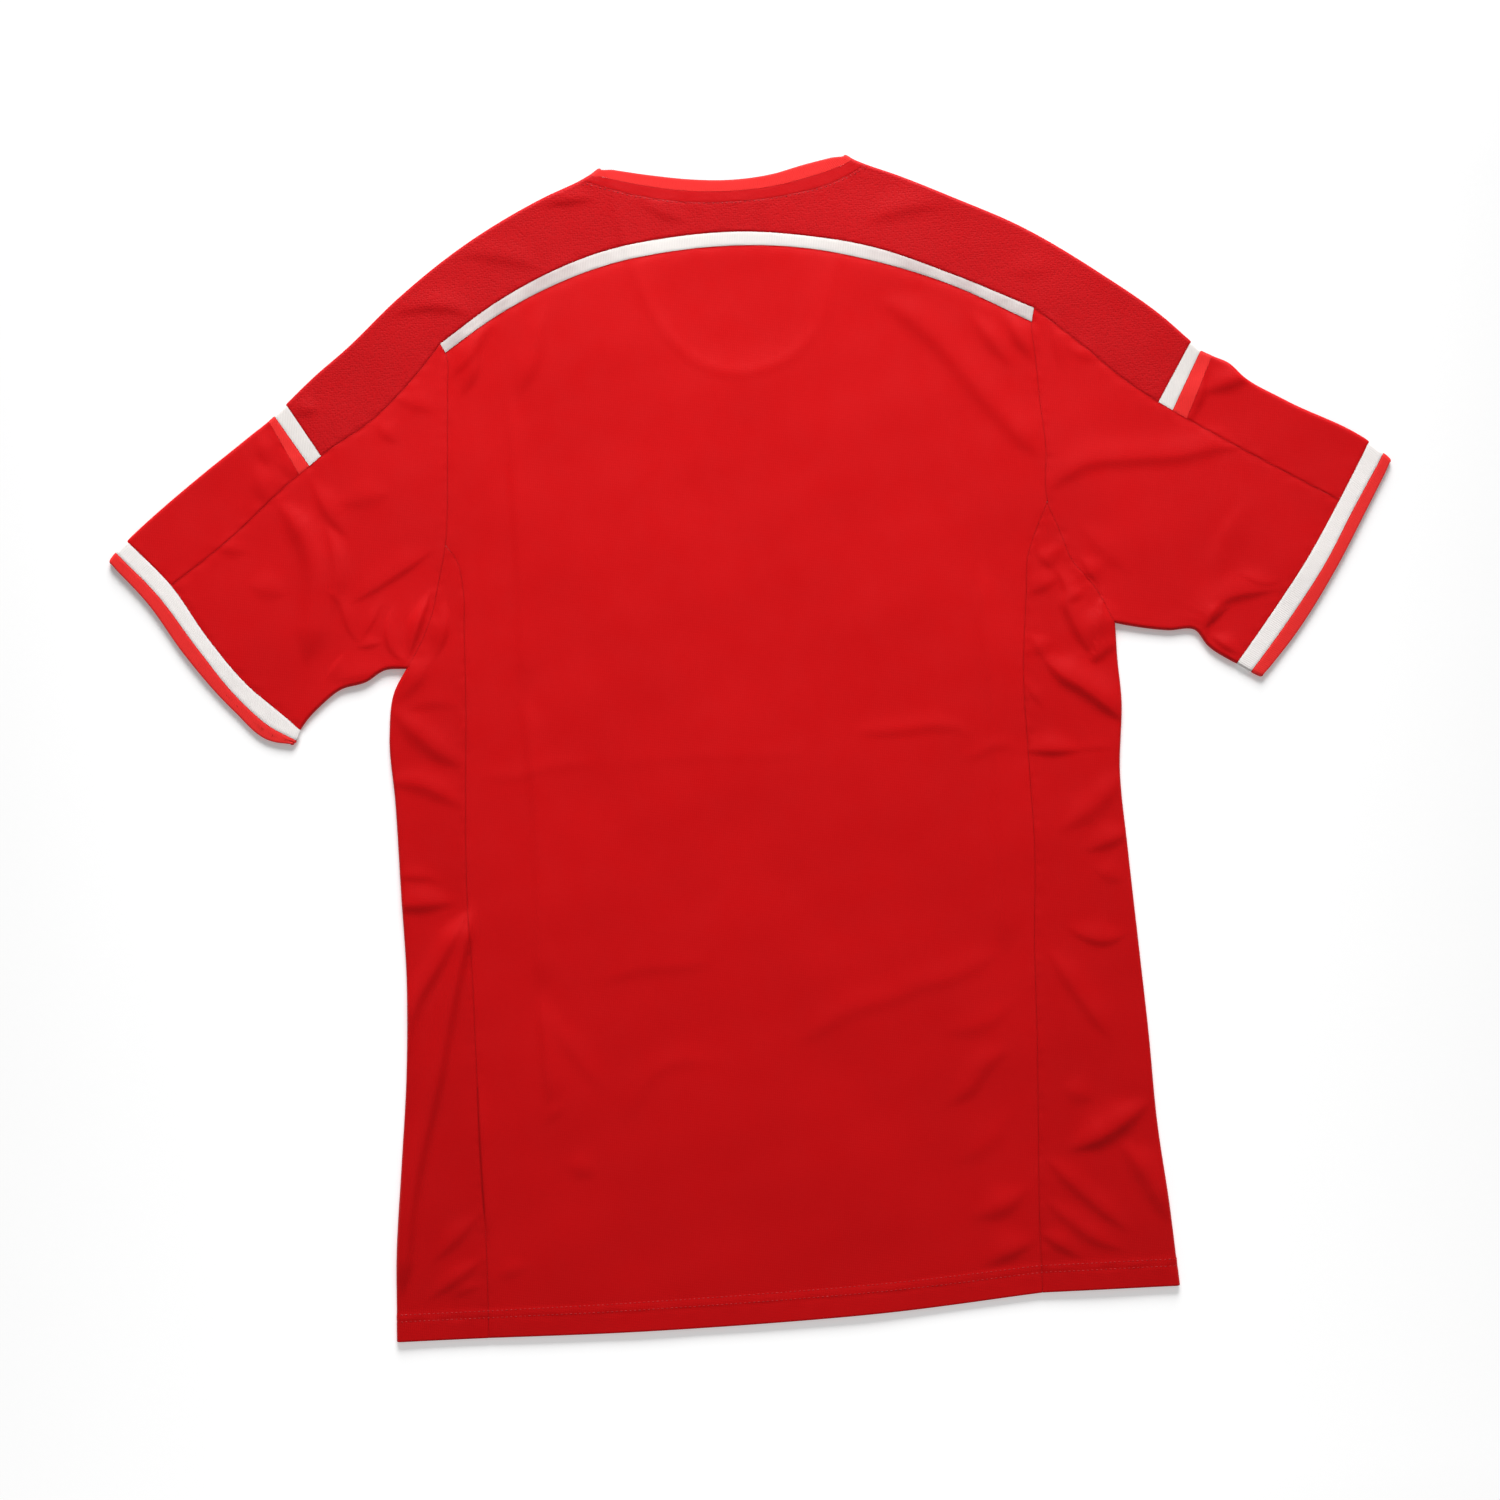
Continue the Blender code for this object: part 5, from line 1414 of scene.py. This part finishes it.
def finish_cloth(tree, shader, colours, height, bump, roughness, painted_shade_between, seam_shade, tone=None):
    """Links colour, roughness and bump: two tones, with painted shade between the threads and along the
    seams.
    """
    tones = blend(tree, tone or patches(tree, CLOUD), *(opaque(colour) for colour in colours))
    fleck = ranged(tree, patches(tree, FLECK, detail=3.0), to_min=FLECK_SHADE)
    # Painted shade in the hollows of the knit: the colour darkens where its relief is low.
    threads = ranged(tree, height, to_min=1 - painted_shade_between)
    # Painted shade along the seams and needle rows, from the seam attribute.
    seam = put(tree, "ShaderNodeAttribute", {"attribute_name": "seam"}).outputs["Fac"]
    seams = ranged(tree, seam, to_min=1.0, to_max=1 - seam_shade)
    value = maths(tree, "MULTIPLY", maths(tree, "MULTIPLY", fleck, threads), seams)
    shaded = put(tree, "ShaderNodeHueSaturation", inputs={"Value": value, "Color": tones})
    tree.links.new(shaded.outputs[0], shader.inputs["Base Color"])
    gloss = ranged(tree, patches(tree, GLOSS_PATCH), to_min=roughness[0], to_max=roughness[1])
    tree.links.new(gloss, shader.inputs["Roughness"])
    relief = put(tree, "ShaderNodeBump", inputs={"Height": height, "Distance": bump * MM})
    tree.links.new(relief.outputs[0], shader.inputs["Normal"])


def interlock_knit(name, colours, wale=WALE):
    """Smooth polyester interlock: fine V-shaped loops that only just show, and a soft, slightly dry sheen."""
    material, tree, shader = cloth_material(name, {"Specular IOR Level": 0.22, "Specular Tint": RED_GLOSS})
    loops = knit_loops(tree, wale)
    finish_cloth(
        tree, shader, colours, loops, bump=0.05, roughness=(0.42, 0.5), painted_shade_between=0.06, seam_shade=0.3
    )
    return material


def neckband_knit(name, colours):
    """The same interlock cut as a narrow band: its loops are drawn closer together."""
    return interlock_knit(name, colours, BAND_WALE)


def mesh_knit(name, colours):
    """Textured polyester mesh: small pores between raised threads, with painted shade in the pores, that
    break the light into a fine grain.
    """
    material, tree, shader = cloth_material(name, {"Specular IOR Level": 0.2, "Specular Tint": RED_GLOSS})
    pores = knit_pores(tree, PORE_PITCH)
    finish_cloth(
        tree, shader, colours, pores, bump=0.12, roughness=(0.5, 0.6), painted_shade_between=0.16, seam_shade=0.3
    )
    return material


def fine_rib(name, colours):
    """Elastic fine rib: narrow ribs across the band, brighter and drier than the body."""
    material, tree, shader = cloth_material(name, {"Specular IOR Level": 0.2})
    ribs = rib_lines(tree, RIB_PITCH)
    finish_cloth(
        tree, shader, colours, ribs, bump=0.08, roughness=(0.55, 0.65), painted_shade_between=0.05, seam_shade=0.12
    )
    return material


def satin_tape(name, colours):
    """Woven polyester satin tape: fine lines along it, and a painted sheen: white in the middle, with painted
    shade that greys it towards the shoulders and in patches.
    """
    material, tree, shader = cloth_material(name, {"Specular IOR Level": 0.35})
    place = put(tree, "ShaderNodeTexCoord").outputs["Object"]
    sideways = put(tree, "ShaderNodeSeparateXYZ", inputs={0: place}).outputs[0]
    middle = maths(tree, "ABSOLUTE", sideways)
    # Painted sheen and shade: the tape greys towards the shoulders and in patches.
    turns = [ranged(tree, middle, from_min=start, from_max=end) for start, end in (TAPE_SHADE_IN, TAPE_SHADE_OUT)]
    cloudy = ranged(tree, patches(tree, TAPE_PATCH), to_min=TAPE_PATCH_LEAST)
    tone = maths(tree, "MULTIPLY", maths(tree, "MULTIPLY", *turns), cloudy)
    lines = rib_lines(tree, TAPE_PITCH)
    finish_cloth(
        tree, shader, colours, lines, bump=0.05, roughness=(0.42, 0.52), painted_shade_between=0.04,
        seam_shade=0.1, tone=tone,
    )
    return material


def sewing_thread(name, colours):
    """Twisted polyester sewing thread: a little glossier than the knit, with fine slanted plies and painted
    shade between them.
    """
    material, tree, shader = cloth_material(name, {"Specular IOR Level": 0.4})
    place = put(tree, "ShaderNodeTexCoord").outputs["Object"]
    twist = {"Vector": place, "Scale": 1 / (THREAD_TWIST * MM), "Distortion": 1.0}
    plies = put(tree, "ShaderNodeTexWave", {"bands_direction": "DIAGONAL"}, twist).outputs[0]
    # Painted shade in the grooves between the plies.
    thread, between = (opaque(colour) for colour in colours)
    tree.links.new(blend(tree, plies, between, thread), shader.inputs["Base Color"])
    tree.links.new(ranged(tree, plies, to_min=0.4, to_max=0.55), shader.inputs["Roughness"])
    bump = {"Height": plies, "Strength": 0.5, "Distance": 0.05 * MM}
    tree.links.new(put(tree, "ShaderNodeBump", inputs=bump).outputs[0], shader.inputs["Normal"])
    return material


# The finish of each colour of the jersey. The second tone is a share of the colour, or another colour; on the
# tape and the threads it is painted shade.
Finish = namedtuple("Finish", "name build second slot")
FINISHES = {
    "knit": Finish("red polyester interlock", interlock_knit, 0.95, "red_knit"),
    "sleeve_knit": Finish("red polyester sleeve interlock", interlock_knit, 0.95, "red_knit"),
    "side_knit": Finish("red polyester side interlock", interlock_knit, 0.95, "red_side_knit"),
    "yoke_knit": Finish("red textured mesh knit", mesh_knit, 0.95, "red_yoke_knit"),
    "neckband": Finish("red self-fabric neckband", neckband_knit, 0.96, "red_neckband"),
    "rib": Finish("orange-red fine rib", fine_rib, 0.95, "orange_red_trim"),
    "cuff": Finish("white fine rib", fine_rib, 0.97, "white_tape"),
    "tape": Finish("white satin tape", satin_tape, "tape_shade", "white_tape"),
    "hem_thread": Finish("hem thread", sewing_thread, PLY_SHADE, None),
    "neck_thread": Finish("neck thread", sewing_thread, PLY_SHADE, None),
}


def finish_of(colours, key):
    """The material of a colour of the jersey, made the first time that it is asked for."""
    name, build, second, _ = FINISHES[key]
    first = tuple(getattr(colours, key))
    if isinstance(second, str):
        last = tuple(getattr(colours, second))
    else:
        last = tuple(second * channel for channel in first)
    return bpy.data.materials.get(name) or build(name, (first, last))


def stitch_tree():
    """Node tree that lays short stitches of thread along lines."""
    tree = bpy.data.node_groups.new("stitches along lines", "GeometryNodeTree")
    tree.interface.new_socket("Lines", in_out="INPUT", socket_type="NodeSocketGeometry")
    for name in ("Pitch", "Stitch Length", "Thread Width"):
        tree.interface.new_socket(name, in_out="INPUT", socket_type="NodeSocketFloat")
    tree.interface.new_socket("Thread", in_out="INPUT", socket_type="NodeSocketMaterial")
    tree.interface.new_socket("Stitches", in_out="OUTPUT", socket_type="NodeSocketGeometry")
    given = put(tree, "NodeGroupInput").outputs
    curve = put(tree, "GeometryNodeMeshToCurve", inputs={"Mesh": given["Lines"]})
    steps = {"Curve": curve.outputs[0], "Length": given["Pitch"]}
    places = put(tree, "GeometryNodeResampleCurve", {"mode": "LENGTH"}, steps)
    ball = {"Segments": BEAD_SIDES, "Rings": BEAD_RINGS, "Radius": 0.5}
    bead = put(tree, "GeometryNodeMeshUVSphere", inputs=ball)
    sizes = {0: given["Stitch Length"], 1: given["Thread Width"], 2: given["Thread Width"]}
    shape = put(tree, "ShaderNodeCombineXYZ", inputs=sizes)
    shares = {2: STITCH_STRETCH[0], 3: STITCH_STRETCH[1], "Seed": STITCH_SEED}
    stretch = put(tree, "FunctionNodeRandomValue", {"data_type": "FLOAT"}, shares)
    scale = {0: shape.outputs[0], "Scale": stretch.outputs[1]}
    size = put(tree, "ShaderNodeVectorMath", {"operation": "SCALE"}, scale)
    tangent = put(tree, "GeometryNodeInputTangent")
    turned = put(tree, "FunctionNodeAlignRotationToVector", {"axis": "X"}, {"Vector": tangent.outputs[0]})
    stitch = {"Points": places, "Instance": bead, "Rotation": turned, "Scale": size}
    inputs = {name: node.outputs[0] for name, node in stitch.items()}
    laid = put(tree, "GeometryNodeInstanceOnPoints", inputs=inputs)
    real = put(tree, "GeometryNodeRealizeInstances", inputs={0: laid.outputs[0]})
    dye = {"Geometry": real.outputs[0], "Material": given["Thread"]}
    dyed = put(tree, "GeometryNodeSetMaterial", inputs=dye)
    put(tree, "NodeGroupOutput", inputs={"Stitches": dyed.outputs[0]})
    return tree


def sew(name, lines, sizes, material):
    """A row of stitches along each line of points, as one plain mesh."""
    lines = [np.maximum(line, (-math.inf, -math.inf, sizes.thread / MM)) for line in lines]
    mesh = bpy.data.meshes.new(name + "_lines")
    starts = np.cumsum([0] + [len(line) for line in lines])
    edges = [(start + i, start + i + 1) for start, line in zip(starts, lines) for i in range(len(line) - 1)]
    mesh.from_pydata(in_frame(np.concatenate(lines)).tolist(), edges, [])
    guide = add_object(name + "_lines", mesh)
    modifier = guide.modifiers.new("stitches", "NODES")
    modifier.node_group = bpy.data.node_groups.get("stitches along lines") or stitch_tree()
    values = {
        "Pitch": sizes.pitch,
        "Stitch Length": sizes.pitch * STITCH_SHARE,
        "Thread Width": sizes.thread,
        "Thread": material,
    }
    for socket in modifier.node_group.interface.items_tree:
        if socket.in_out == "INPUT" and socket.name in values:
            modifier[socket.identifier] = values[socket.name]
    evaluated = guide.evaluated_get(bpy.context.evaluated_depsgraph_get())
    stitches = bpy.data.meshes.new_from_object(evaluated)
    stitches.name = name
    guide.modifiers.clear()
    bpy.data.objects.remove(guide)
    if not len(stitches.polygons):
        raise RuntimeError(f"{name} has no stitches")
    piece = add_object(name, stitches)
    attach(piece, "root")
    return piece


def keep_hem_needles(outer):
    """Keeps the two needle rows of a piece with a hem, for the stitching."""
    NEEDLES["hem"] += [outer[HEM_LEVELS.index(row)] for row in HEM_ROWS]


def keep_neck_needle(cloth, outer):
    """Keeps the needle row beside the collar's seam, all round the neck."""
    row = SEAM_LEVELS.index(NECK_NEEDLE)
    upper = int((~cloth.kept[len(cloth.kept) // 2]).argmax()) + 1
    column = upper - row - 1
    single = np.flatnonzero(~cloth.kept[:, -1])
    first, last = single[0], single[-1] + 1
    left, right = outer[first - row, column:], outer[last + row, column:]
    NEEDLES["neck"].append(np.concatenate([left[::-1], outer[first : last + 1, column], right]))


def length_property(name, description, default):
    """A length that a user may change, in metres."""
    return FloatProperty(name=name, description=description, default=default, unit="LENGTH", precision=5)


def colour_property(name, description, hex_colour):
    """A colour that a user may change, from its sRGB value."""
    return FloatVectorProperty(
        name=name, description=description, default=linear(hex_colour), subtype="COLOR", min=0.0, max=1.0
    )


class JerseySizes(bpy.types.PropertyGroup):
    """Sizes of the cloth and its sewing."""

    cell: length_property("Mesh cell", "Size of the cells of the cloth", 0.0025)
    cloth: length_property("Cloth", "Thickness of the knit", 0.0007)
    slit: length_property("Seam slit", "Gap between two pieces at a seam", 0.0001)
    groove: length_property("Seam groove", "Depth of the groove along a seam", 0.0005)
    pitch: length_property("Stitch pitch", "From one stitch to the next", 0.003)
    thread: length_property("Thread", "Thickness of the sewing thread", 0.00045)


class JerseyColours(bpy.types.PropertyGroup):
    """Colours of the cloths and threads."""

    knit: colour_property("Knit", "Back and front", "D4070B")
    sleeve_knit: colour_property("Sleeve knit", "Sleeves and their tops", "D4080D")
    side_knit: colour_property("Side knit", "Panels at the sides", "D1060A")
    yoke_knit: colour_property("Yoke knit", "Textured knit of the yoke", "C4080F")
    neckband: colour_property("Neckband", "Band below the collar's binding", "CC080E")
    rib: colour_property("Rib", "Binding of collar and cuffs, lines of the sleeves", "F12C2A")
    tape: colour_property("Tape", "Tapes", "EBE5E1")
    cuff: colour_property("Cuff", "White bands of the cuffs", "FBF5F2")
    # Colour of the painted shade on the tapes, where their painted sheen fades towards the shoulders.
    tape_shade: colour_property("Tape shade", "Greyer parts of the tapes", "CBBBB9")
    hem_thread: colour_property("Hem thread", "Sewing thread of the hem", "D2242A")
    neck_thread: colour_property("Neck thread", "Sewing thread of the collar", "B5161C")


class JerseyStage(bpy.types.PropertyGroup):
    """Floor, light and camera."""

    floor: colour_property("Floor", "Paper on which the jersey lies", "F4F4F4")
    floor_glow: FloatProperty(name="Floor glow", description="The floor's own light by the hem", default=0.45)
    far_glow: FloatProperty(name="Far glow", description="The floor's own light by the neck", default=0.08)
    key: FloatProperty(name="Key light", description="Power of the large lamp", default=18.4, unit="POWER")
    ambient: FloatProperty(name="Ambient light", description="Strength of the light all round", default=0.22)
    height: length_property("Camera height", "Above the floor", 2.3375)
    lens: FloatProperty(name="Lens", description="Focal length in millimetres", default=85.0)
    turn: FloatProperty(
        name="Camera turn",
        description="Of the picture round the line of sight",
        default=math.radians(3.6),
        subtype="ANGLE",
    )


# How each kind of piece is sewn: its grooves, the ripples beside them and whether it has the hem.
BODY = Sewing(groove=0.7, width=LAPPED_WIDTH, pucker=0.4, hem=True)
SIDE = Sewing(groove=0.7, width=GROOVE_WIDTH, pucker=0.6, hem=True)
YOKE = Sewing(groove=0.7, width=GROOVE_WIDTH, pucker=0.4, hem=False)
SLEEVE = Sewing(groove=0.7, width=LAPPED_WIDTH, pucker=0.5, hem=False)
SLEEVE_TOP = Sewing(groove=0.7, width=GROOVE_WIDTH, pucker=0.5, hem=False)
TAPES = Sewing(groove=0.4, width=GROOVE_WIDTH, pucker=0.3, hem=False)
CUFFS = Sewing(groove=0.6, width=GROOVE_WIDTH, pucker=0.3, hem=False)
COLLAR = Sewing(groove=0.35, width=GROOVE_WIDTH, pucker=0.2, hem=False)

Piece = namedtuple("Piece", "node kind finish sewing cloth rests_on", defaults=["floor"])


class ClothStep:
    """What the steps that lay cloth share: each gives its pieces for a size of cell in millimetres."""

    def execute(self, context):
        sizes, colours = context.scene.jersey_sizes, context.scene.jersey_colours
        for node, kind, finish, sewing, cloth, rests_on in self.pieces(sizes.cell / MM):
            material = finish_of(colours, finish)
            piece, outer = make_shell(f"{node}_{kind}", cloth, sewing, material, sizes)
            lay(piece, node, FINISHES[finish].slot, cloth, rests_on)
            if sewing.hem:
                keep_hem_needles(outer)
            if node == "yoke":
                keep_neck_needle(cloth, outer)
        return {"FINISHED"}


class JERSEY_OT_back_panel(ClothStep, bpy.types.Operator):
    """Lays the centre back, with its hem turned up"""

    bl_idname = "jersey.back_panel"
    bl_label = "Back panel"

    def pieces(self, cell):
        yield Piece("back_panel", "cloth", "knit", BODY, back_panel(cell), "front_panel_cloth")


class JERSEY_OT_front_panel(ClothStep, bpy.types.Operator):
    """Lays the centre front on the floor, under the back"""

    bl_idname = "jersey.front_panel"
    bl_label = "Front panel"

    def pieces(self, cell):
        yield Piece("front_panel", "cloth", "knit", BODY, front_panel(FRONT_CELLS * cell))


class JERSEY_OT_side_panels(ClothStep, bpy.types.Operator):
    """Wraps the side panels round the sides of the body"""

    bl_idname = "jersey.side_panels"
    bl_label = "Side panels"

    def pieces(self, cell):
        for side in SIDES:
            yield Piece(f"side_panel_{side}", "cloth", "side_knit", SIDE, side_panel(side, SIDE_CELLS * cell))


class JERSEY_OT_yoke(ClothStep, bpy.types.Operator):
    """Lays the textured yoke over both shoulders"""

    bl_idname = "jersey.yoke"
    bl_label = "Yoke"

    def pieces(self, cell):
        yield Piece("yoke", "cloth", "yoke_knit", YOKE, yoke_piece(YOKE_CELLS * cell))


class JERSEY_OT_sleeves(ClothStep, bpy.types.Operator):
    """Wraps the sleeves round the underarms and their upper inserts over the top"""

    bl_idname = "jersey.sleeves"
    bl_label = "Sleeves"

    def pieces(self, cell):
        cell *= SLEEVE_CELLS
        for side in SIDES:
            yield Piece(f"sleeve_{side}", "cloth", "sleeve_knit", SLEEVE, sleeve(side, cell))
            top = over_the_top(side, "top", "cuff", cell)
            yield Piece(f"sleeve_top_{side}", "cloth", "sleeve_knit", SLEEVE_TOP, top)


class JERSEY_OT_tapes(ClothStep, bpy.types.Operator):
    """Lays the white tape of the yoke and the white and orange-red lines over the sleeves"""

    bl_idname = "jersey.tapes"
    bl_label = "Tapes"

    def pieces(self, cell):
        cell *= TAPE_CELLS
        yield Piece("yoke_stripe", "tape", "tape", TAPES, yoke_tape(cell), "front_panel_cloth")
        for side in SIDES:
            white, line = (over_the_top(side, *rows, cell) for rows in (("stripe", "line"), ("line", "top")))
            yield Piece(f"sleeve_stripe_{side}", "tape", "tape", TAPES, white)
            yield Piece(f"sleeve_line_{side}", "tape", "rib", TAPES, line)


class JERSEY_OT_cuffs(ClothStep, bpy.types.Operator):
    """Closes each sleeve with a white band and an orange-red edge"""

    bl_idname = "jersey.cuffs"
    bl_label = "Cuffs"

    def pieces(self, cell):
        cell *= TAPE_CELLS
        for side in SIDES:
            yield Piece(f"cuff_band_{side}", "rib", "cuff", CUFFS, cuff_piece(side, "seam", "edge", cell))
            yield Piece(f"cuff_edge_{side}", "rib", "rib", CUFFS, cuff_piece(side, "edge", "end", cell))


class JERSEY_OT_collar(ClothStep, bpy.types.Operator):
    """Rounds off the neck with its bright binding and the red band below it"""

    bl_idname = "jersey.collar"
    bl_label = "Collar"

    def pieces(self, cell):
        cell *= TAPE_CELLS
        yield Piece("collar_edge", "knit", "rib", COLLAR, collar_piece(0.0, BINDING_SHARE, cell))
        yield Piece("collar_band", "knit", "neckband", COLLAR, collar_piece(BINDING_SHARE, 1.0, cell))


class JERSEY_OT_stitching(bpy.types.Operator):
    """Sews the two needle rows of the hem and the row beside the collar"""

    bl_idname = "jersey.stitching"
    bl_label = "Stitching"

    def execute(self, context):
        for place, lines in NEEDLES.items():
            if not lines:
                raise RuntimeError(f"the {place} has no needle rows yet")
            thread = finish_of(context.scene.jersey_colours, f"{place}_thread")
            sew(f"{place}_stitches", lines, context.scene.jersey_sizes, thread)
        return {"FINISHED"}


class JERSEY_OT_stage(bpy.types.Operator):
    """Sets up the pale floor, the soft studio light and the camera"""

    bl_idname = "jersey.stage"
    bl_label = "Stage"

    def execute(self, context):
        stage = context.scene.jersey_stage
        make_floor(stage)
        make_lights(context.scene, stage)
        make_camera(context.scene, stage)
        return {"FINISHED"}


def make_floor(stage):
    """Pale paper under the jersey, a little brighter than its surroundings light it."""
    half = FLOOR_SIDE / 2
    corners = [(-half, -half), (half, -half), (half, half), (-half, half)]
    mesh = bpy.data.meshes.new("floor")
    mesh.from_pydata([(x, y, -FLOOR_GAP) for x, y in corners], [], [(0, 1, 2, 3)])
    floor = add_object("floor", mesh)
    material, tree, shader = cloth_material("matt white paper", {"Roughness": 0.9, "Specular IOR Level": 0.1})
    fibres = blend(tree, patches(tree, PAPER_PATCH), opaque(stage.floor, PAPER_SHADE), opaque(stage.floor))
    tree.links.new(fibres, shader.inputs["Base Color"])
    shader.inputs["Emission Color"].default_value = WHITE
    place = put(tree, "ShaderNodeTexCoord").outputs["Object"]
    forwards = put(tree, "ShaderNodeSeparateXYZ", inputs={0: place}).outputs[1]
    places = {"from_min": GLOW_FAR, "from_max": GLOW_NEAR}
    glow = ranged(tree, forwards, **places, to_min=stage.far_glow, to_max=stage.floor_glow)
    tree.links.new(glow, shader.inputs["Emission Strength"])
    mesh.materials.append(material)


def make_lights(scene, stage):
    """One large lamp beyond the neck, which shines down the jersey, and an even light from all round."""
    lamp = bpy.data.lights.new("key", "AREA")
    lamp.shape = "SQUARE"
    lamp.size = KEY_SIZE
    lamp.energy = stage.key
    lamp.spread = KEY_SPREAD
    key = add_object("key", lamp)
    key.location = KEY_PLACE
    key.rotation_euler = (Vector(KEY_AIM) - key.location).to_track_quat("-Z", "Y").to_euler()
    world = bpy.data.worlds.new("studio")
    world.use_nodes = True
    world.node_tree.nodes["Background"].inputs["Color"].default_value = WHITE
    world.node_tree.nodes["Background"].inputs["Strength"].default_value = stage.ambient
    scene.world = world


def make_camera(scene, stage):
    """Camera that looks straight down, turned a little round its line of sight."""
    lens = bpy.data.cameras.new("camera")
    lens.lens = stage.lens
    lens.sensor_width = SENSOR
    lens.clip_end = CLIP_HEIGHTS * stage.height
    camera = add_object("camera", lens)
    camera.location = (*CAMERA_PLACE, stage.height)
    camera.rotation_euler = (0.0, 0.0, -stage.turn)
    scene.camera = camera
    scene.view_settings.view_transform = "Standard"


class JERSEY_PT_tools(bpy.types.Panel):
    """Steps of the jersey, in the order in which they are made"""

    bl_label = "Football Jersey"
    bl_idname = "JERSEY_PT_tools"
    bl_space_type = "VIEW_3D"
    bl_region_type = "UI"
    bl_category = "Jersey"

    def draw(self, context):
        for group in (context.scene.jersey_sizes, context.scene.jersey_colours, context.scene.jersey_stage):
            for name in group.__annotations__:
                self.layout.prop(group, name)
        for step in STEPS:
            self.layout.operator(step.bl_idname)


STEPS = (
    JERSEY_OT_back_panel,
    JERSEY_OT_front_panel,
    JERSEY_OT_side_panels,
    JERSEY_OT_yoke,
    JERSEY_OT_sleeves,
    JERSEY_OT_tapes,
    JERSEY_OT_cuffs,
    JERSEY_OT_collar,
    JERSEY_OT_stitching,
    JERSEY_OT_stage,
)
GROUPS = {"jersey_sizes": JerseySizes, "jersey_colours": JerseyColours, "jersey_stage": JerseyStage}


def register():
    for item in (*GROUPS.values(), *STEPS, JERSEY_PT_tools):
        bpy.utils.register_class(item)
    for name, group in GROUPS.items():
        setattr(bpy.types.Scene, name, PointerProperty(type=group))


def unregister():
    for name in GROUPS:
        delattr(bpy.types.Scene, name)
    for item in reversed((*GROUPS.values(), *STEPS, JERSEY_PT_tools)):
        bpy.utils.unregister_class(item)


def main():
    register()
    for step in STEPS:
        family, name = step.bl_idname.split(".")
        getattr(getattr(bpy.ops, family), name)()


if __name__ == "__main__":
    main()
